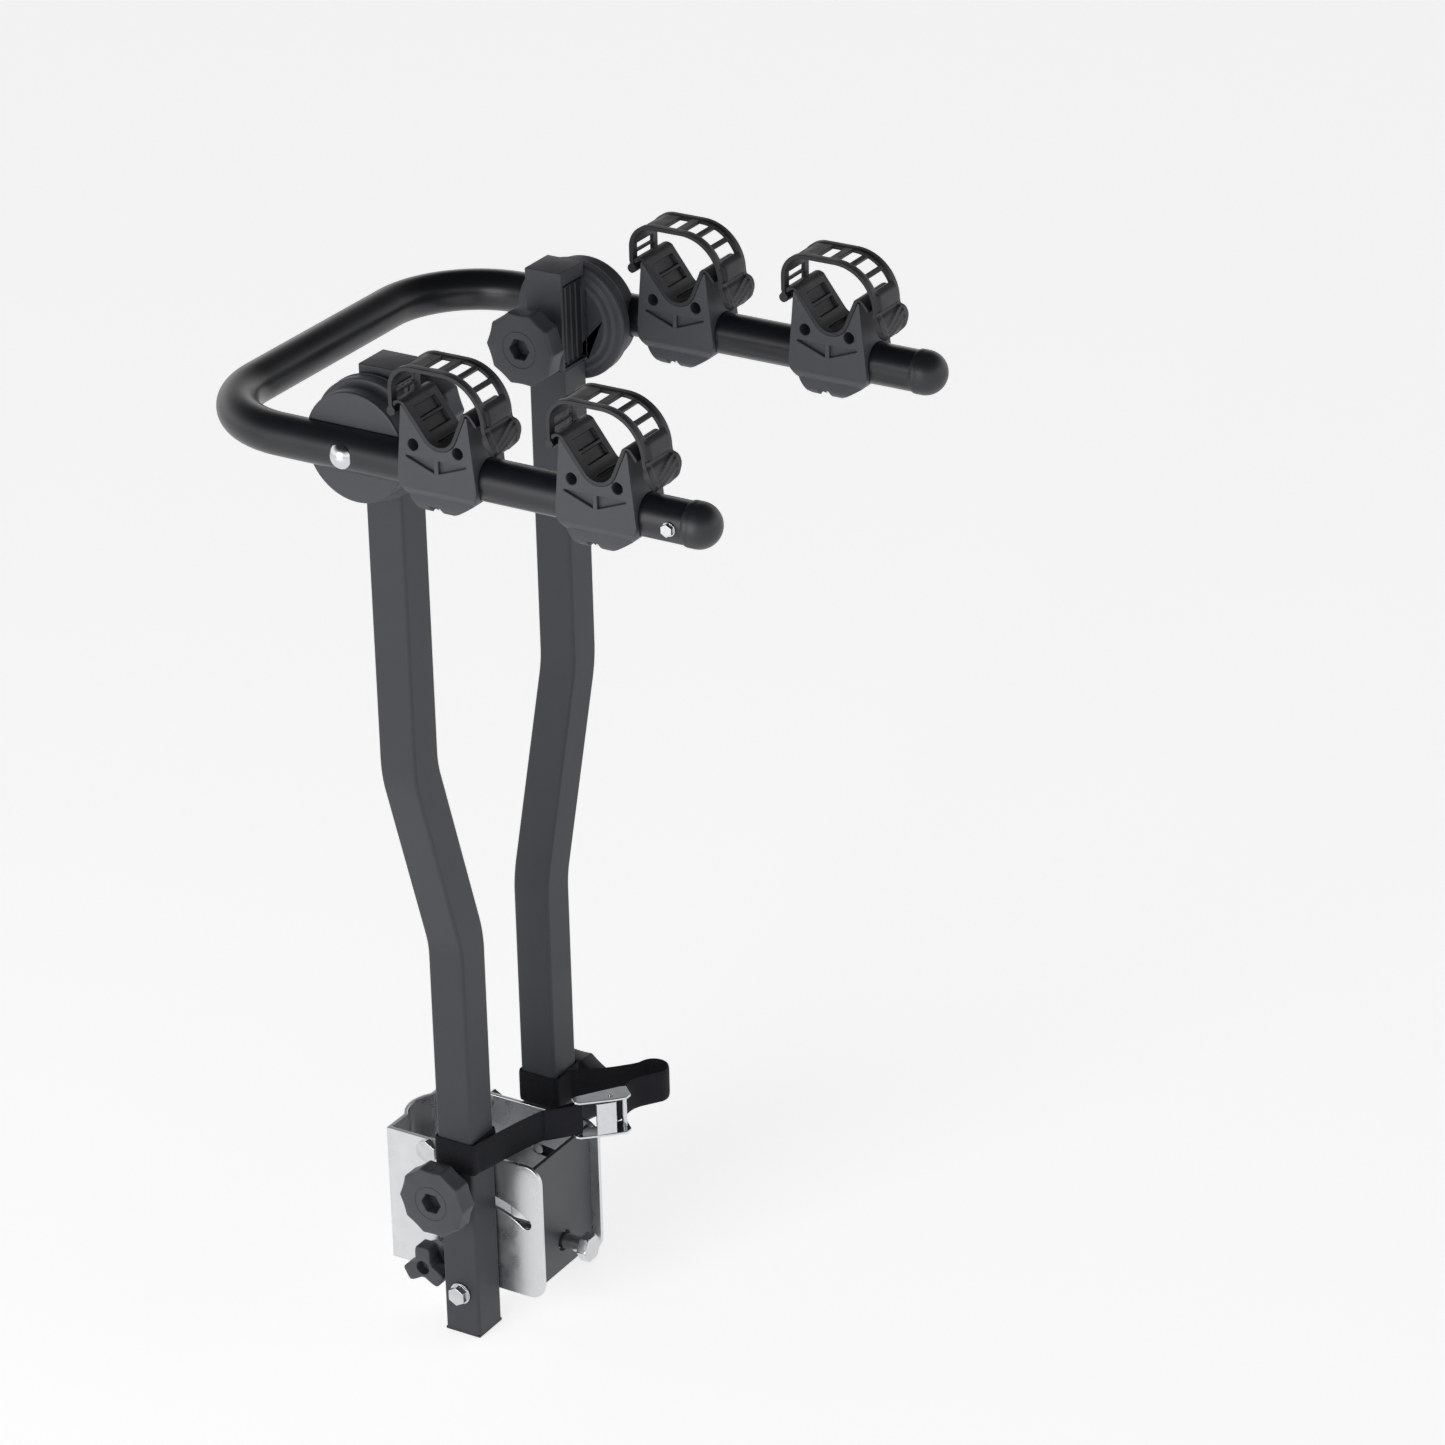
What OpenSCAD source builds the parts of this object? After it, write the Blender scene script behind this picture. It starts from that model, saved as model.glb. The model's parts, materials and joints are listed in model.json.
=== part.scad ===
// Tow-ball bike rack: a bracket that grips the ball, two cranked posts that tilt on it,
// and a U-shaped arm frame that folds, with four lined cradles and their ladder straps.
// Origin at the centre of the tow ball, +Z up, arms reaching towards -Y.

/* [Arm frame] */
// Outer diameter of the arm tube
tube_d = 30; // [28:0.5:32]
// Distance of each arm's axis from the middle plane
arm_x = 151.5; // [148:0.5:156]
// Height of the arm axis above the ball centre
arm_z = 682; // [660:1:720]
// Reach of the arms in front of the posts, to the centre of the end caps
arm_reach = 272.5; // [265:0.5:320]
// Distance of the crossbar behind the posts
crossbar_y = 128; // [120:1:150]
// Centreline radius of the two bends
bend_r = 70; // [60:1:75]
// Wall of the arm tube
tube_wall = 2; // [1.5:0.5:3]

/* [Posts] */
// Outside width of the square posts
post_w = 30; // [28:0.5:30]
// Wall of the posts
post_wall = 2; // [1.5:0.5:2.5]
// Distance of each post's axis from the middle plane at the top
post_top_x = 103.5; // [103.5:0.5:104]
// Depth of the posts' bottom ends below the arm axis
post_bottom = 738; // [734:1:750]
// Depth of the upper bend below the arm axis
knee_upper = 259; // [240:1:270]
// Depth of the lower bend below the arm axis
knee_lower = 414; // [400:1:430]
// Radius of the two bends on the centreline
knee_r = 80; // [60:5:100]

/* [Bracket] */
// Outside width over the side walls
bracket_w = 82.4; // [80:0.2:82.4]
// Sheet thickness
sheet = 3; // [2.5:0.5:3]
// Height of the side walls
bracket_h = 111; // [108:1:114]
// Diameter of the tow ball
ball_d = 50; // [49:0.5:50]
// Angle that the posts tilt through
tilt_max = 36; // [20:1:36]

/* [Cradles] */
// Place of the inner cradles in front of the posts
cradle_first = 80.5; // [80:0.5:84]
// Distance between the cradles of one arm
cradle_pitch = 124; // [120:1:126]
// Width of a cradle across the arm
cradle_w = 37.4; // [36:0.2:38]
// Width of a ladder strap
strap_w = 34; // [30:1:36]

/* [Knobs] */
// Diameter of the large hand knobs over their corners
knob_d = 56.5; // [54:0.5:58]
// Thickness of a knob's head
knob_t = 16.8; // [14:0.2:17.2]

/* [Hidden] */
$fn = 96;

e = 0.01;
gap = 0.3;
post_y = -59.5;                       // the posts' centre plane, seen from the ball
tube_r = tube_d / 2;
post_half = post_w / 2;
wall_x = bracket_w / 2;               // outer face of the bracket's side walls
post_low_x = wall_x + gap + post_half;
post_top_in = post_top_x - post_half;
post_top_out = post_top_x + post_half;
post_low_out = post_low_x + post_half;
ball_y = -post_y;                     // the ball, seen from the posts' centre plane

// Heights below the arm axis, and places seen from the posts' centre plane
bracket_top = -600;
bracket_bottom = bracket_top - bracket_h;
bracket_front = -54;
bracket_back = 81.5;
corner_r = 13;
groove_r = ball_d / 2 + 0.3;
plate_y = -46;
plate_top = -603.5;
plate_bottom = -705;
pivot_z = -703;
slot_r = 67;
slot_w = 9;
lower_knob_z = -610;
pin_d = 8;                            // M8 pivots, slot bolts, fold bolts and studs
bore_d = pin_d + 0.1;
lock_y = 35;
lock_z = -693;
nut_w = 5;
cross_y = 43;
cross_z = -608;

clamp_d = 12;
clamp_af = 19;
clamp_head = 8;
jaw_back = 26;
jaw_front = 48;
jaw_h = 44;
nut_t = 10;
screw_head_y = -71;

// Hinge of the arms, measured out from the middle plane
housing_top = 48;
housing_low = -26;
housing_flange = 5.3;
rim_r = 44.5;
pocket = 3.5;                         // depth of the hollow in the housing's front
saddle_r = 40;
saddle_in = post_top_out + housing_flange + gap;
saddle_out = 149;

knob_hub_r = 11;
knob_hub = 16;
knob_recess_af = 14.6;
knob_recess = 9;

cradle_x = cradle_w / 2;
eye_d = 8.4;
eye_y = 17.6;
eye_z = 22.6;
eye_depth = 12;
valley_r = 15;
valley_y = -3;
valley_z = 36.5;
liner_t = 3;
liner_x = cradle_x + 0.3;
strap_t = 3;
hinge_y = 35.5;                       // bulb that each strap swings on, seen from its cradle
hinge_z = 42.5;

webbing_t = 1.8;
webbing_low = -598.5;
webbing_w = 25;
webbing_mid = webbing_low + webbing_w / 2;
buckle_x = 33;
buckle_y = -62;
buckle_turn = -40;

// ---------------------------------------------------------------- helpers

// Brings children given from the arm axis and the posts' centre plane into the model's frame.
module from_arm() { translate([0, post_y, arm_z]) children(); }

// Extrudes a (Y, Z) outline along X, centred on x.
module along_x(x, w) {
    translate([x, 0, 0]) rotate([90, 0, 90]) linear_extrude(w, center = true) children();
}

// A round bar along X from x0 to x1.
module bar_x(d, x0, x1) { translate([x0, 0, 0]) rotate([0, 90, 0]) cylinder(d = d, h = x1 - x0); }

// A round bar along Y from y0 to y1.
module bar_y(d, y0, y1) { translate([0, y0, 0]) rotate([-90, 0, 0]) cylinder(d = d, h = y1 - y0); }

module hex(af, h) { cylinder(d = af / cos(30), h = h, $fn = 6); }

module hex_x(af, x0, x1) { translate([x0, 0, 0]) rotate([0, 90, 0]) hex(af, x1 - x0); }

// Draws its children once on each side of the middle plane.
module both_sides() { children(); mirror([1, 0, 0]) children(); }

// Unit normal of the segment that starts at point i of a path.
function seg_normal(p, i) = let(d = p[i + 1] - p[i]) [-d[1], d[0]] / norm(d);

// Offset of a path's point i along the mitre of its two neighbours.
function mitre(p, i) = let(n = len(p) - 1,
    a = seg_normal(p, max(i - 1, 0)), b = seg_normal(p, min(i, n - 1)))
    (a + b) / (1 + a * b);

// Outline of a strip of thickness t along path p.
function strip(p, t) = concat(
    [for (i = [0:len(p) - 1]) p[i] - mitre(p, i) * t / 2],
    [for (i = [len(p) - 1:-1:0]) p[i] + mitre(p, i) * t / 2]);

// Points of an arc from angle a0 to a1 about centre c.
function arc(c, r, a0, a1, n) = [for (i = [0:n]) let(a = a0 + (a1 - a0) * i / n)
    c + r * [cos(a), sin(a)]];

// ---------------------------------------------------------------- bracket

// Plan of the bent sheet with the vertical groove that the ball seats in.
module shell_plan() {
    difference() {
        union() {
            translate([-wall_x, bracket_front]) square([bracket_w, bracket_back - bracket_front]);
            translate([0, ball_y]) circle(r = groove_r + sheet);
        }
        translate([-wall_x + sheet, bracket_front - 1])
            square([bracket_w - 2 * sheet, bracket_back - sheet - bracket_front + 1]);
        translate([0, ball_y]) circle(r = groove_r);
    }
}

// Side view of the walls with their rounded front corners.
module wall_side() {
    translate([bracket_front + corner_r, bracket_bottom]) square([160, bracket_h]);
    translate([bracket_front, bracket_bottom + corner_r]) square([160, bracket_h - 2 * corner_r]);
    for (z = [bracket_bottom + corner_r, bracket_top - corner_r])
        translate([bracket_front + corner_r, z]) circle(r = corner_r);
}

// Arc slot about the pivot, from upright to the end of the tilt.
module slot_side() {
    translate([0, pivot_z]) {
        intersection() {
            difference() {
                circle(r = slot_r + slot_w / 2);
                circle(r = slot_r - slot_w / 2);
            }
            polygon([[0, 0], [0, 100], [-100 * tan(tilt_max), 100]]);
        }
        for (a = [0, tilt_max]) rotate(a) translate([0, slot_r]) circle(d = slot_w + 0.3);
    }
}

module bracket_shell() {
    color("silver") from_arm() difference() {
        intersection() {
            translate([0, 0, bracket_bottom]) linear_extrude(bracket_h) shell_plan();
            along_x(0, bracket_w) wall_side();
        }
        along_x(0, bracket_w + 2) slot_side();
        translate([0, 0, pivot_z]) bar_x(bore_d, -wall_x - 1, wall_x + 1);
        translate([0, cross_y, cross_z]) bar_x(bore_d, -wall_x - 1, wall_x + 1);
        translate([0, lock_y, lock_z]) bar_x(bore_d, -wall_x - 1, 0);
    }
}

module front_plate() {
    color("dimgray") from_arm() difference() {
        translate([-wall_x + sheet, plate_y, plate_bottom])
            cube([bracket_w - 2 * sheet, sheet, plate_top - plate_bottom]);
        translate([0, 0, -arm_z]) bar_y(clamp_d + 4.5, plate_y - 1, plate_y + sheet + 1);
    }
}

module clamp_nut() {
    color("silver") from_arm() translate([0, plate_y + sheet, -arm_z]) rotate([-90, 0, 0]) difference() {
        hex(clamp_af, nut_t);
        translate([0, 0, -1]) cylinder(d = clamp_d + 0.1, h = nut_t + 2);
    }
}

module clamp_bolt() {
    color("gainsboro") from_arm() translate([0, 0, -arm_z]) {
        bar_y(clamp_d, screw_head_y + clamp_head - e, jaw_back + 6);
        translate([0, screw_head_y, 0]) rotate([-90, 0, 0]) intersection() {
            hex(clamp_af, clamp_head);
            translate([0, 0, clamp_head]) mirror([0, 0, 1]) cylinder(r1 = clamp_head + 9,
                r2 = clamp_af / 2 + 0.3, h = clamp_head, $fn = 48);
        }
    }
}

module clamp_jaw() {
    jaw_w = bracket_w - 2 * sheet - 2 * gap;
    color("slategray") from_arm() difference() {
        translate([-jaw_w / 2, jaw_back, -arm_z - jaw_h / 2]) cube([jaw_w, jaw_front - jaw_back, jaw_h]);
        translate([0, ball_y, -arm_z]) sphere(r = groove_r);
        translate([0, 0, -arm_z]) bar_y(clamp_d + 0.1, jaw_back - 1, jaw_back + 6.3);
    }
}

module cross_bolt() {
    color("silver") from_arm() translate([0, cross_y, cross_z]) {
        bar_x(pin_d, -wall_x - e, wall_x + 9);
        hex_x(16, -wall_x - 6, -wall_x);
        hex_x(13, wall_x, wall_x + 6.5);
    }
}

// Hex head with a round washer face, from x0 outwards.
module washer_head(x0) {
    bar_x(17, x0, x0 + 1.6);
    hex_x(13, x0 + 1.6 - e, x0 + 7);
}

module pivot_bolts() {
    color("silver") from_arm() both_sides() translate([0, 0, pivot_z]) {
        bar_x(pin_d, wall_x - sheet - 5, post_low_out + gap + e);
        washer_head(post_low_out + gap);
        hex_x(13, wall_x - sheet - 6.5, wall_x - sheet);
    }
}

module lock_knob() {
    lobe_r = 17.5;
    color("dimgray") from_arm() translate([0, lock_y, lock_z]) difference() {
        union() {
            bar_x(pin_d, -wall_x - 6, -wall_x + sheet);
            bar_x(24, -wall_x - 16, -wall_x - nut_w - gap);
            along_x(-wall_x - 22, 13) union() {
                circle(r = 9);
                for (a = [90, 210, 330]) rotate(a) {
                    translate([lobe_r - 5, 0]) circle(r = 5);
                    translate([0, -7]) square([lobe_r - 5, 14]);
                }
            }
        }
        hex_x(10, -wall_x - 29, -wall_x - 21);
    }
}

module lock_nut() {
    color("silver") from_arm() translate([0, lock_y, lock_z]) difference() {
        hex_x(13, -wall_x - nut_w, -wall_x);
        bar_x(bore_d, -wall_x - nut_w - 1, -wall_x + 1);
    }
}

// ---------------------------------------------------------------- posts

lean = atan((post_top_x - post_low_x) / (knee_lower - knee_upper));
knee_n = 5;

// Centreline of a post from its top down, as (x, z), with a round at each knee.
post_path = let(t = knee_r * tan(lean / 2)) concat(
    [[post_top_x, housing_low - 0.05]],
    arc([post_top_x - knee_r, -knee_upper + t], knee_r, 0, -lean, knee_n),
    arc([post_low_x + knee_r, -knee_lower - t], knee_r, 180 - lean, 180, knee_n),
    [[post_low_x, -post_bottom + 2]]);

module post_bar(w) {
    rotate([90, 0, 0]) linear_extrude(w, center = true) polygon(strip(post_path, w));
}

// A square post with its three cross holes.
module post() {
    from_arm() difference() {
        post_bar(post_w);
        post_bar(post_w - 2 * post_wall);
        for (end = [[post_top_x, housing_low], [post_low_x, 2 - post_bottom]])
            translate([end[0], 0, end[1]])
                cube([post_w - 2 * post_wall, post_w - 2 * post_wall, 2], center = true);
        for (z = [pivot_z, pivot_z + slot_r, lower_knob_z])
            translate([0, 0, z]) bar_x(bore_d, wall_x - 1, post_low_out + 1);
    }
}

module post_right() { color("gray") post(); }
module post_left() { color("gray") mirror([1, 0, 0]) post(); }

module foot_plugs() {
    inner = post_w - 2 * post_wall - 0.1;
    color("black") from_arm() both_sides() translate([post_low_x, 0, -post_bottom]) {
        translate([-post_half, -post_half, 0]) cube([post_w, post_w, 2]);
        translate([-inner / 2, -inner / 2, 2 - e]) cube([inner, inner, 10]);
    }
}

module slot_bolts() {
    color("silver") from_arm() both_sides() translate([0, 0, pivot_z + slot_r]) {
        bar_x(pin_d, wall_x - sheet + gap, post_low_out + e);
        washer_head(post_low_out);
    }
}

// Outline of a knob: ten corners joined by shallow hollows.
module knob_outline(d) {
    difference() {
        circle(d = d, $fn = 10);
        for (i = [0:9]) rotate(36 * i + 18) translate([d * 0.98, 0]) circle(r = d * 0.52);
    }
}

// Hand knob along +X from its hub's end at x = 0, with a hex recess in its face.
module knob(bore) {
    difference() {
        union() {
            bar_x(2 * knob_hub_r, 0, knob_hub + 1);
            along_x(knob_hub + knob_t / 2, knob_t) knob_outline(knob_d);
        }
        rotate([30, 0, 0]) hex_x(knob_recess_af, knob_hub + knob_t - knob_recess, knob_hub + knob_t + 1);
        if (bore > 0) bar_x(bore, -1, knob_hub + knob_t - knob_recess + 1);
        difference() {
            bar_x(27.6, knob_hub + knob_t - 0.5, knob_hub + knob_t + 1);
            bar_x(26, knob_hub + knob_t - 1, knob_hub + knob_t + 2);
        }
    }
}

module lower_knob() {
    from_arm() translate([0, 0, lower_knob_z]) {
        translate([post_low_out + gap, 0, 0]) knob(0);
        bar_x(pin_d, wall_x + 2 * gap, post_low_out + gap + e);
    }
}

module lower_knob_right() { color("dimgray") lower_knob(); }
module lower_knob_left() { color("dimgray") mirror([1, 0, 0]) lower_knob(); }

// Knob on the inner side of a post's housing, facing the middle.
module top_knob() { from_arm() translate([post_top_in - gap, 0, 0]) mirror([1, 0, 0]) knob(bore_d); }

module top_knob_right() { color("dimgray") top_knob(); }
module top_knob_left() { color("dimgray") mirror([1, 0, 0]) top_knob(); }

// Cross-section of the housing's flange by (radius, distance from the post).
module flange_profile() {
    polygon([[0, 0], [31, 0], [32, 1.2], [37, 1.4], [38, 2.6], [42, 2.8], [rim_r, 3.6],
        [rim_r, housing_flange], [0, housing_flange]]);
}

module housing() {
    plug = post_w - 2 * post_wall - 0.1;
    crown = 2.2;
    roof = [[-post_half, 0], [post_half, 0], [post_half, housing_top - housing_low],
        [0, housing_top - housing_low + crown], [-post_half, housing_top - housing_low]];
    from_arm() difference() {
        union() {
            translate([post_top_x, 0, housing_low]) intersection() {
                rotate([90, 0, 0]) linear_extrude(post_w, center = true) polygon(roof);
                rotate([90, 0, 90]) linear_extrude(post_w, center = true) polygon(roof);
            }
            translate([post_top_x - plug / 2, -plug / 2, housing_low - 30]) cube([plug, plug, 30 + e]);
            translate([post_top_out - e, 0, 0]) rotate([0, 90, 0]) rotate_extrude() flange_profile();
        }
        bar_x(bore_d, post_top_in - 1, saddle_in + 1);
        translate([post_top_in + 3, -post_half - 1, housing_low + 2])
            cube([post_w - 2.9, pocket + 1, housing_top - housing_low - 12]);
    }
}

module housing_right() { color("dimgray") housing(); }
module housing_left() { color("dimgray") mirror([1, 0, 0]) housing(); }

// ---------------------------------------------------------------- tie strap and buckle

// Plan of a loop of webbing around a post.
module post_loop() {
    inner = post_half + 0.4;
    difference() {
        square(2 * (inner + webbing_t), center = true);
        square(2 * inner, center = true);
    }
}

front_y = -post_half - 0.6 - webbing_t / 2;
short_path = [[-post_low_x, front_y], [-post_low_x + 17, front_y], [-5, -34.5], [16.6, -48.6]];
long_path = concat([[post_low_x - 10, front_y], [post_low_x + 4, front_y], [74, -40], [93, -57]],
    arc([93.5, -69], 11.5, 75, -115, 7), [[69.5, -65], [50, -67.3], [39.5, -62.5]]);

module webbing(x, path) {
    from_arm() translate([0, 0, webbing_low]) linear_extrude(webbing_w) {
        translate([x, 0]) post_loop();
        polygon(strip(path, webbing_t));
    }
}

module webbing_short() { color("black") webbing(-post_low_x, short_path); }
module webbing_long() { color("black") webbing(post_low_x, long_path); }

// Places children in the buckle's own frame: X along the strap, Y towards the posts, Z up.
module at_buckle() {
    from_arm() translate([buckle_x, buckle_y, webbing_mid]) rotate([0, 0, buckle_turn]) children();
}

module buckle_frame() {
    plate = 2;
    inside = webbing_w + 2;
    color("lightgray") at_buckle() {
        for (s = [-1, 1])
            translate([0, 0, s * (inside + plate) / 2 - plate / 2]) linear_extrude(plate) difference() {
                polygon([[-22.5, -3], [-19, -5.5], [6, -9], [16, -9.5], [20.5, -6], [21, 7], [17, 8],
                    [-19, 5], [-22.5, 3.5]]);
                translate([6, -2]) circle(d = 4.1);
            }
        for (x = [-19, 17]) translate([x, 0, -inside / 2 - e]) cylinder(d = 4, h = inside + 2 * e);
    }
}

module buckle_pin() {
    color("silver") at_buckle() translate([6, -2, -webbing_w / 2 - 4]) cylinder(d = 4, h = webbing_w + 8);
}

module buckle_lever() {
    h = webbing_w + 1;
    color("gainsboro") at_buckle() translate([6, -2, -h / 2]) linear_extrude(h) difference() {
        union() {
            circle(d = 9);
            polygon([[0, 3], [-5, -1], [-13, -4.6], [-12.8, -6.2], [2, -7.4], [4, -2]]);
        }
        circle(d = 4.12);
    }
}

// ---------------------------------------------------------------- arm frame

bend_x = arm_x - bend_r;
bend_y = crossbar_y - bend_r;

// The U at diameter d, whose arms end at y0.
module arm_run(d, y0) {
    both_sides() {
        translate([arm_x, 0, 0]) bar_y(d, y0, bend_y);
        translate([bend_x, bend_y, 0]) rotate_extrude(angle = 90) translate([bend_r, 0]) circle(d = d);
    }
    translate([0, crossbar_y, 0]) bar_x(d, -bend_x, bend_x);
}

module arm_tube() {
    end_y = -arm_reach + 2;
    color("black") from_arm() difference() {
        arm_run(tube_d, end_y);
        arm_run(tube_d - 2 * tube_wall, end_y - 1);
        for (s = [-1, 1]) {
            translate([s * arm_x, 0, 0]) bar_x(bore_d, -tube_d, tube_d);
            translate([s * (arm_x + tube_r), -arm_reach + 14, 0]) bar_x(5, -6, 6);
            for (i = [0, 1]) translate([s * arm_x, cradle_y(i) + bolt_y, -tube_d])
                cylinder(d = 6.2, h = 2 * tube_d);
        }
    }
}

// Domed plug with a short sleeve over the tube's end.
module end_cap() {
    cap_r = tube_r + 1;
    plug_r = tube_r - tube_wall - 0.05;
    from_arm() translate([arm_x, -arm_reach, 0]) rotate([90, 0, 0]) rotate_extrude() {
        difference() {
            union() {
                intersection() {
                    circle(r = cap_r);
                    square([cap_r, cap_r]);
                }
                translate([0, -5.5]) square([cap_r - 0.1, 6.5]);
            }
            translate([-1, -7]) square([tube_r + 1.05, 5]);
        }
        translate([0, -20]) square([plug_r, 19]);
    }
}

module end_cap_right() { color("black") end_cap(); }
module end_cap_left() { color("black") mirror([1, 0, 0]) end_cap(); }

module end_screws() {
    color("silver") from_arm() both_sides() translate([arm_x + tube_r, -arm_reach + 14, 0]) {
        bar_x(10, -0.6, 1);
        hex_x(8, 1 - e, 4);
        bar_x(4.6, -2, 0);
    }
}

// Grooved hinge disc between the housing's flange and the arm tube.
module saddle() {
    depth = saddle_out - saddle_in;
    from_arm() difference() {
        translate([saddle_in, 0, 0]) rotate([0, 90, 0]) rotate_extrude()
            polygon(concat([[0, 0], [rim_r - 0.5, 0], [rim_r - 0.5, 8]],
                arc([rim_r - 0.5, 12.5], 4.5, 250, 180, 5),
                [[saddle_r, depth - 1], [saddle_r - 1, depth], [0, depth]]));
        translate([arm_x, 0, 0]) bar_y(tube_d + 0.1, -60, 60);
        bar_x(bore_d, saddle_in - 1, saddle_out + 1);
    }
}

module saddle_right() { color("dimgray") saddle(); }
module saddle_left() { color("dimgray") mirror([1, 0, 0]) saddle(); }

// Coach bolts from the outside of the tube to inside the top knobs.
module fold_bolts() {
    head_r = 9;
    color("silver") from_arm() both_sides() {
        bar_x(pin_d, post_top_in - 16, arm_x + tube_r + e);
        translate([arm_x + tube_r - 0.6, 0, 0]) rotate([0, 90, 0]) rotate_extrude()
            intersection() {
                translate([0, -6.5]) circle(r = 11.1);
                square([head_r, 6]);
            }
    }
}

// ---------------------------------------------------------------- cradles

bolt_y = 8;                           // clamp bolt of a cradle, seen from its middle

function cradle_y(i) = -cradle_first - i * cradle_pitch;

// Places children at cradle n: 1 and 2 on the left arm, 3 and 4 on the right, inner one first.
module at_cradle(n) {
    from_arm() translate([n < 3 ? -arm_x : arm_x, cradle_y((n + 1) % 2), 0]) children();
}

// The hollow of a cradle: a round floor of radius r between two straight flared sides.
module valley(r) {
    flare_left = 37;
    flare_right = 23;
    left = (r - 0.02) * [cos(flare_left), -sin(flare_left)];
    right = (r - 0.02) * [-cos(flare_right), -sin(flare_right)];
    translate([valley_y, valley_z]) {
        circle(r = r);
        polygon([left, left + 40 * [sin(flare_left), cos(flare_left)],
            right + 40 * [-sin(flare_right), cos(flare_right)], right]);
    }
}

module cradle_side() {
    difference() {
        polygon([[-26, 49.5], [-31.5, -4], [-29, -12], [-24, -17], [-18.5, -20.8], [-10.5, -26],
            [-4, -29.6], [0, -30.3], [3.5, -30.3], [3.5, -24], [12.5, -24], [12.5, -30.3], [17, -30.3],
            [22, -26.5], [27, -16], [30.5, -7], [31, 0], [26.5, 49.5]]);
        valley(valley_r);
    }
}

// View along the arm: flat sides above, wrapped round the tube below.
module cradle_end() {
    translate([-cradle_x, 0]) square([cradle_w, 60]);
    intersection() {
        circle(r = 20.5);
        square([cradle_w, 60], center = true);
    }
    translate([0, -18]) circle(r = 12.6);
}

// The two hollows below the eyes, with a rib between them.
module cheeks() {
    for (s = [0, 1]) mirror([s, 0]) polygon([[1.7, 14.2], [1.7, 4.8], [24, 13.2], [24, 14.2]]);
}

module cradle() {
    relief = 3;
    difference() {
        intersection() {
            along_x(0, cradle_w) cradle_side();
            rotate([90, 0, 0]) linear_extrude(90, center = true) cradle_end();
        }
        bar_y(tube_d + 0.1, -40, 40);
        for (s = [-1, 1]) {
            for (y = [-eye_y, eye_y]) translate([s * (cradle_x - eye_depth / 2 + 1), y, eye_z])
                rotate([0, 90, 0]) cylinder(d = eye_d, h = eye_depth + 2, center = true);
            along_x(s * cradle_x, 2 * relief) cheeks();
        }
        translate([0, bolt_y, -31]) cylinder(d = 13, h = 8);
        translate([0, bolt_y, -31]) cylinder(d = 6.2, h = 49);
        translate([0, bolt_y, tube_r - 1]) rotate(30) hex(10.2, 4.6);
    }
}

module cradle_1() { color("dimgray") at_cradle(1) cradle(); }
module cradle_2() { color("dimgray") at_cradle(2) cradle(); }
module cradle_3() { color("dimgray") at_cradle(3) cradle(); }
module cradle_4() { color("dimgray") at_cradle(4) cradle(); }

module cradle_bolts() {
    color("silver") for (n = [1:4]) at_cradle(n) translate([0, bolt_y, 0]) {
        translate([0, 0, -28]) hex(10, 5);
        translate([0, 0, -23 - e]) cylinder(d = 6, h = 41);
        translate([0, 0, tube_r + 0.1]) rotate(30) hex(10, 3);
    }
}

// Rubber lining: a band in the valley whose ears hook over both horns.
module liner() {
    along_x(0, 2 * liner_x) {
        difference() {
            valley(valley_r - 0.05);
            valley(valley_r - liner_t);
            translate([-50, 50]) square([100, 60]);
        }
        polygon([[24, 49.6], [28.5, 49.7], [31.2, 47.5], [31.5, 50.4], [28, 52.2], [24, 52]]);
        polygon([[-21.5, 49.7], [-22, 52.4], [-27.5, 52.6], [-30.5, 49.5], [-34, 44.5], [-32, 43.5],
            [-28.2, 48.5], [-26.5, 49.7]]);
    }
}

module liner_1() { color("black") at_cradle(1) liner(); }
module liner_2() { color("black") at_cradle(2) liner(); }
module liner_3() { color("black") at_cradle(3) liner(); }
module liner_4() { color("black") at_cradle(4) liner(); }

strap_l = hinge_y;                    // middle of the strap's leg beside its hinge
strap_r = -37;                        // middle of its other leg
crown_z = 75;                         // middle of its top
turn_l = 16.5;
turn_r = 31.5;

// Middle line of the strap: up from the hinge, over the valley and down its free leg.
strap_path = concat([[strap_l, hinge_z]],
    arc([strap_l - turn_l, crown_z - turn_l], turn_l, 0, 90, 10),
    arc([strap_r + turn_r, crown_z - turn_r], turn_r, 90, 180, 18),
    [[strap_r, 29]]);

module strap_side() {
    polygon(strip(strap_path, strap_t));
    translate([hinge_y, hinge_z]) circle(r = 3.6);
    polygon([[-37.5, 54], [-40.6, 54], [-41, 47], [-44.5, 41], [-45.5, 32], [-42.5, 23.5],
        [-38, 24], [-36, 28], [-36, 33]]);
}

// One window through the strap, w long across it and l along it.
module window(y, z, turn, l) {
    translate([0, y, z]) rotate([turn, 0, 0]) cube([21, l, 12], center = true);
}

module strap() {
    difference() {
        along_x(0, strap_w) strap_side();
        for (k = [0:2]) let(a = 7.5 + 24 * k)
            window(strap_r + turn_r - turn_r * sin(a), crown_z - turn_r + turn_r * cos(a), a, 9.5);
        window(6, crown_z, 0, 9.5);
        window(strap_l - turn_l + turn_l * sin(32), crown_z - turn_l + turn_l * cos(32), -32, 7);
        for (z = [50.5, 57.5]) window(hinge_y, z, 90, 5);
    }
}

module strap_1() { color("black") at_cradle(1) strap(); }
module strap_2() { color("black") at_cradle(2) strap(); }
module strap_3() { color("black") at_cradle(3) strap(); }
module strap_4() { color("black") at_cradle(4) strap(); }

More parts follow.
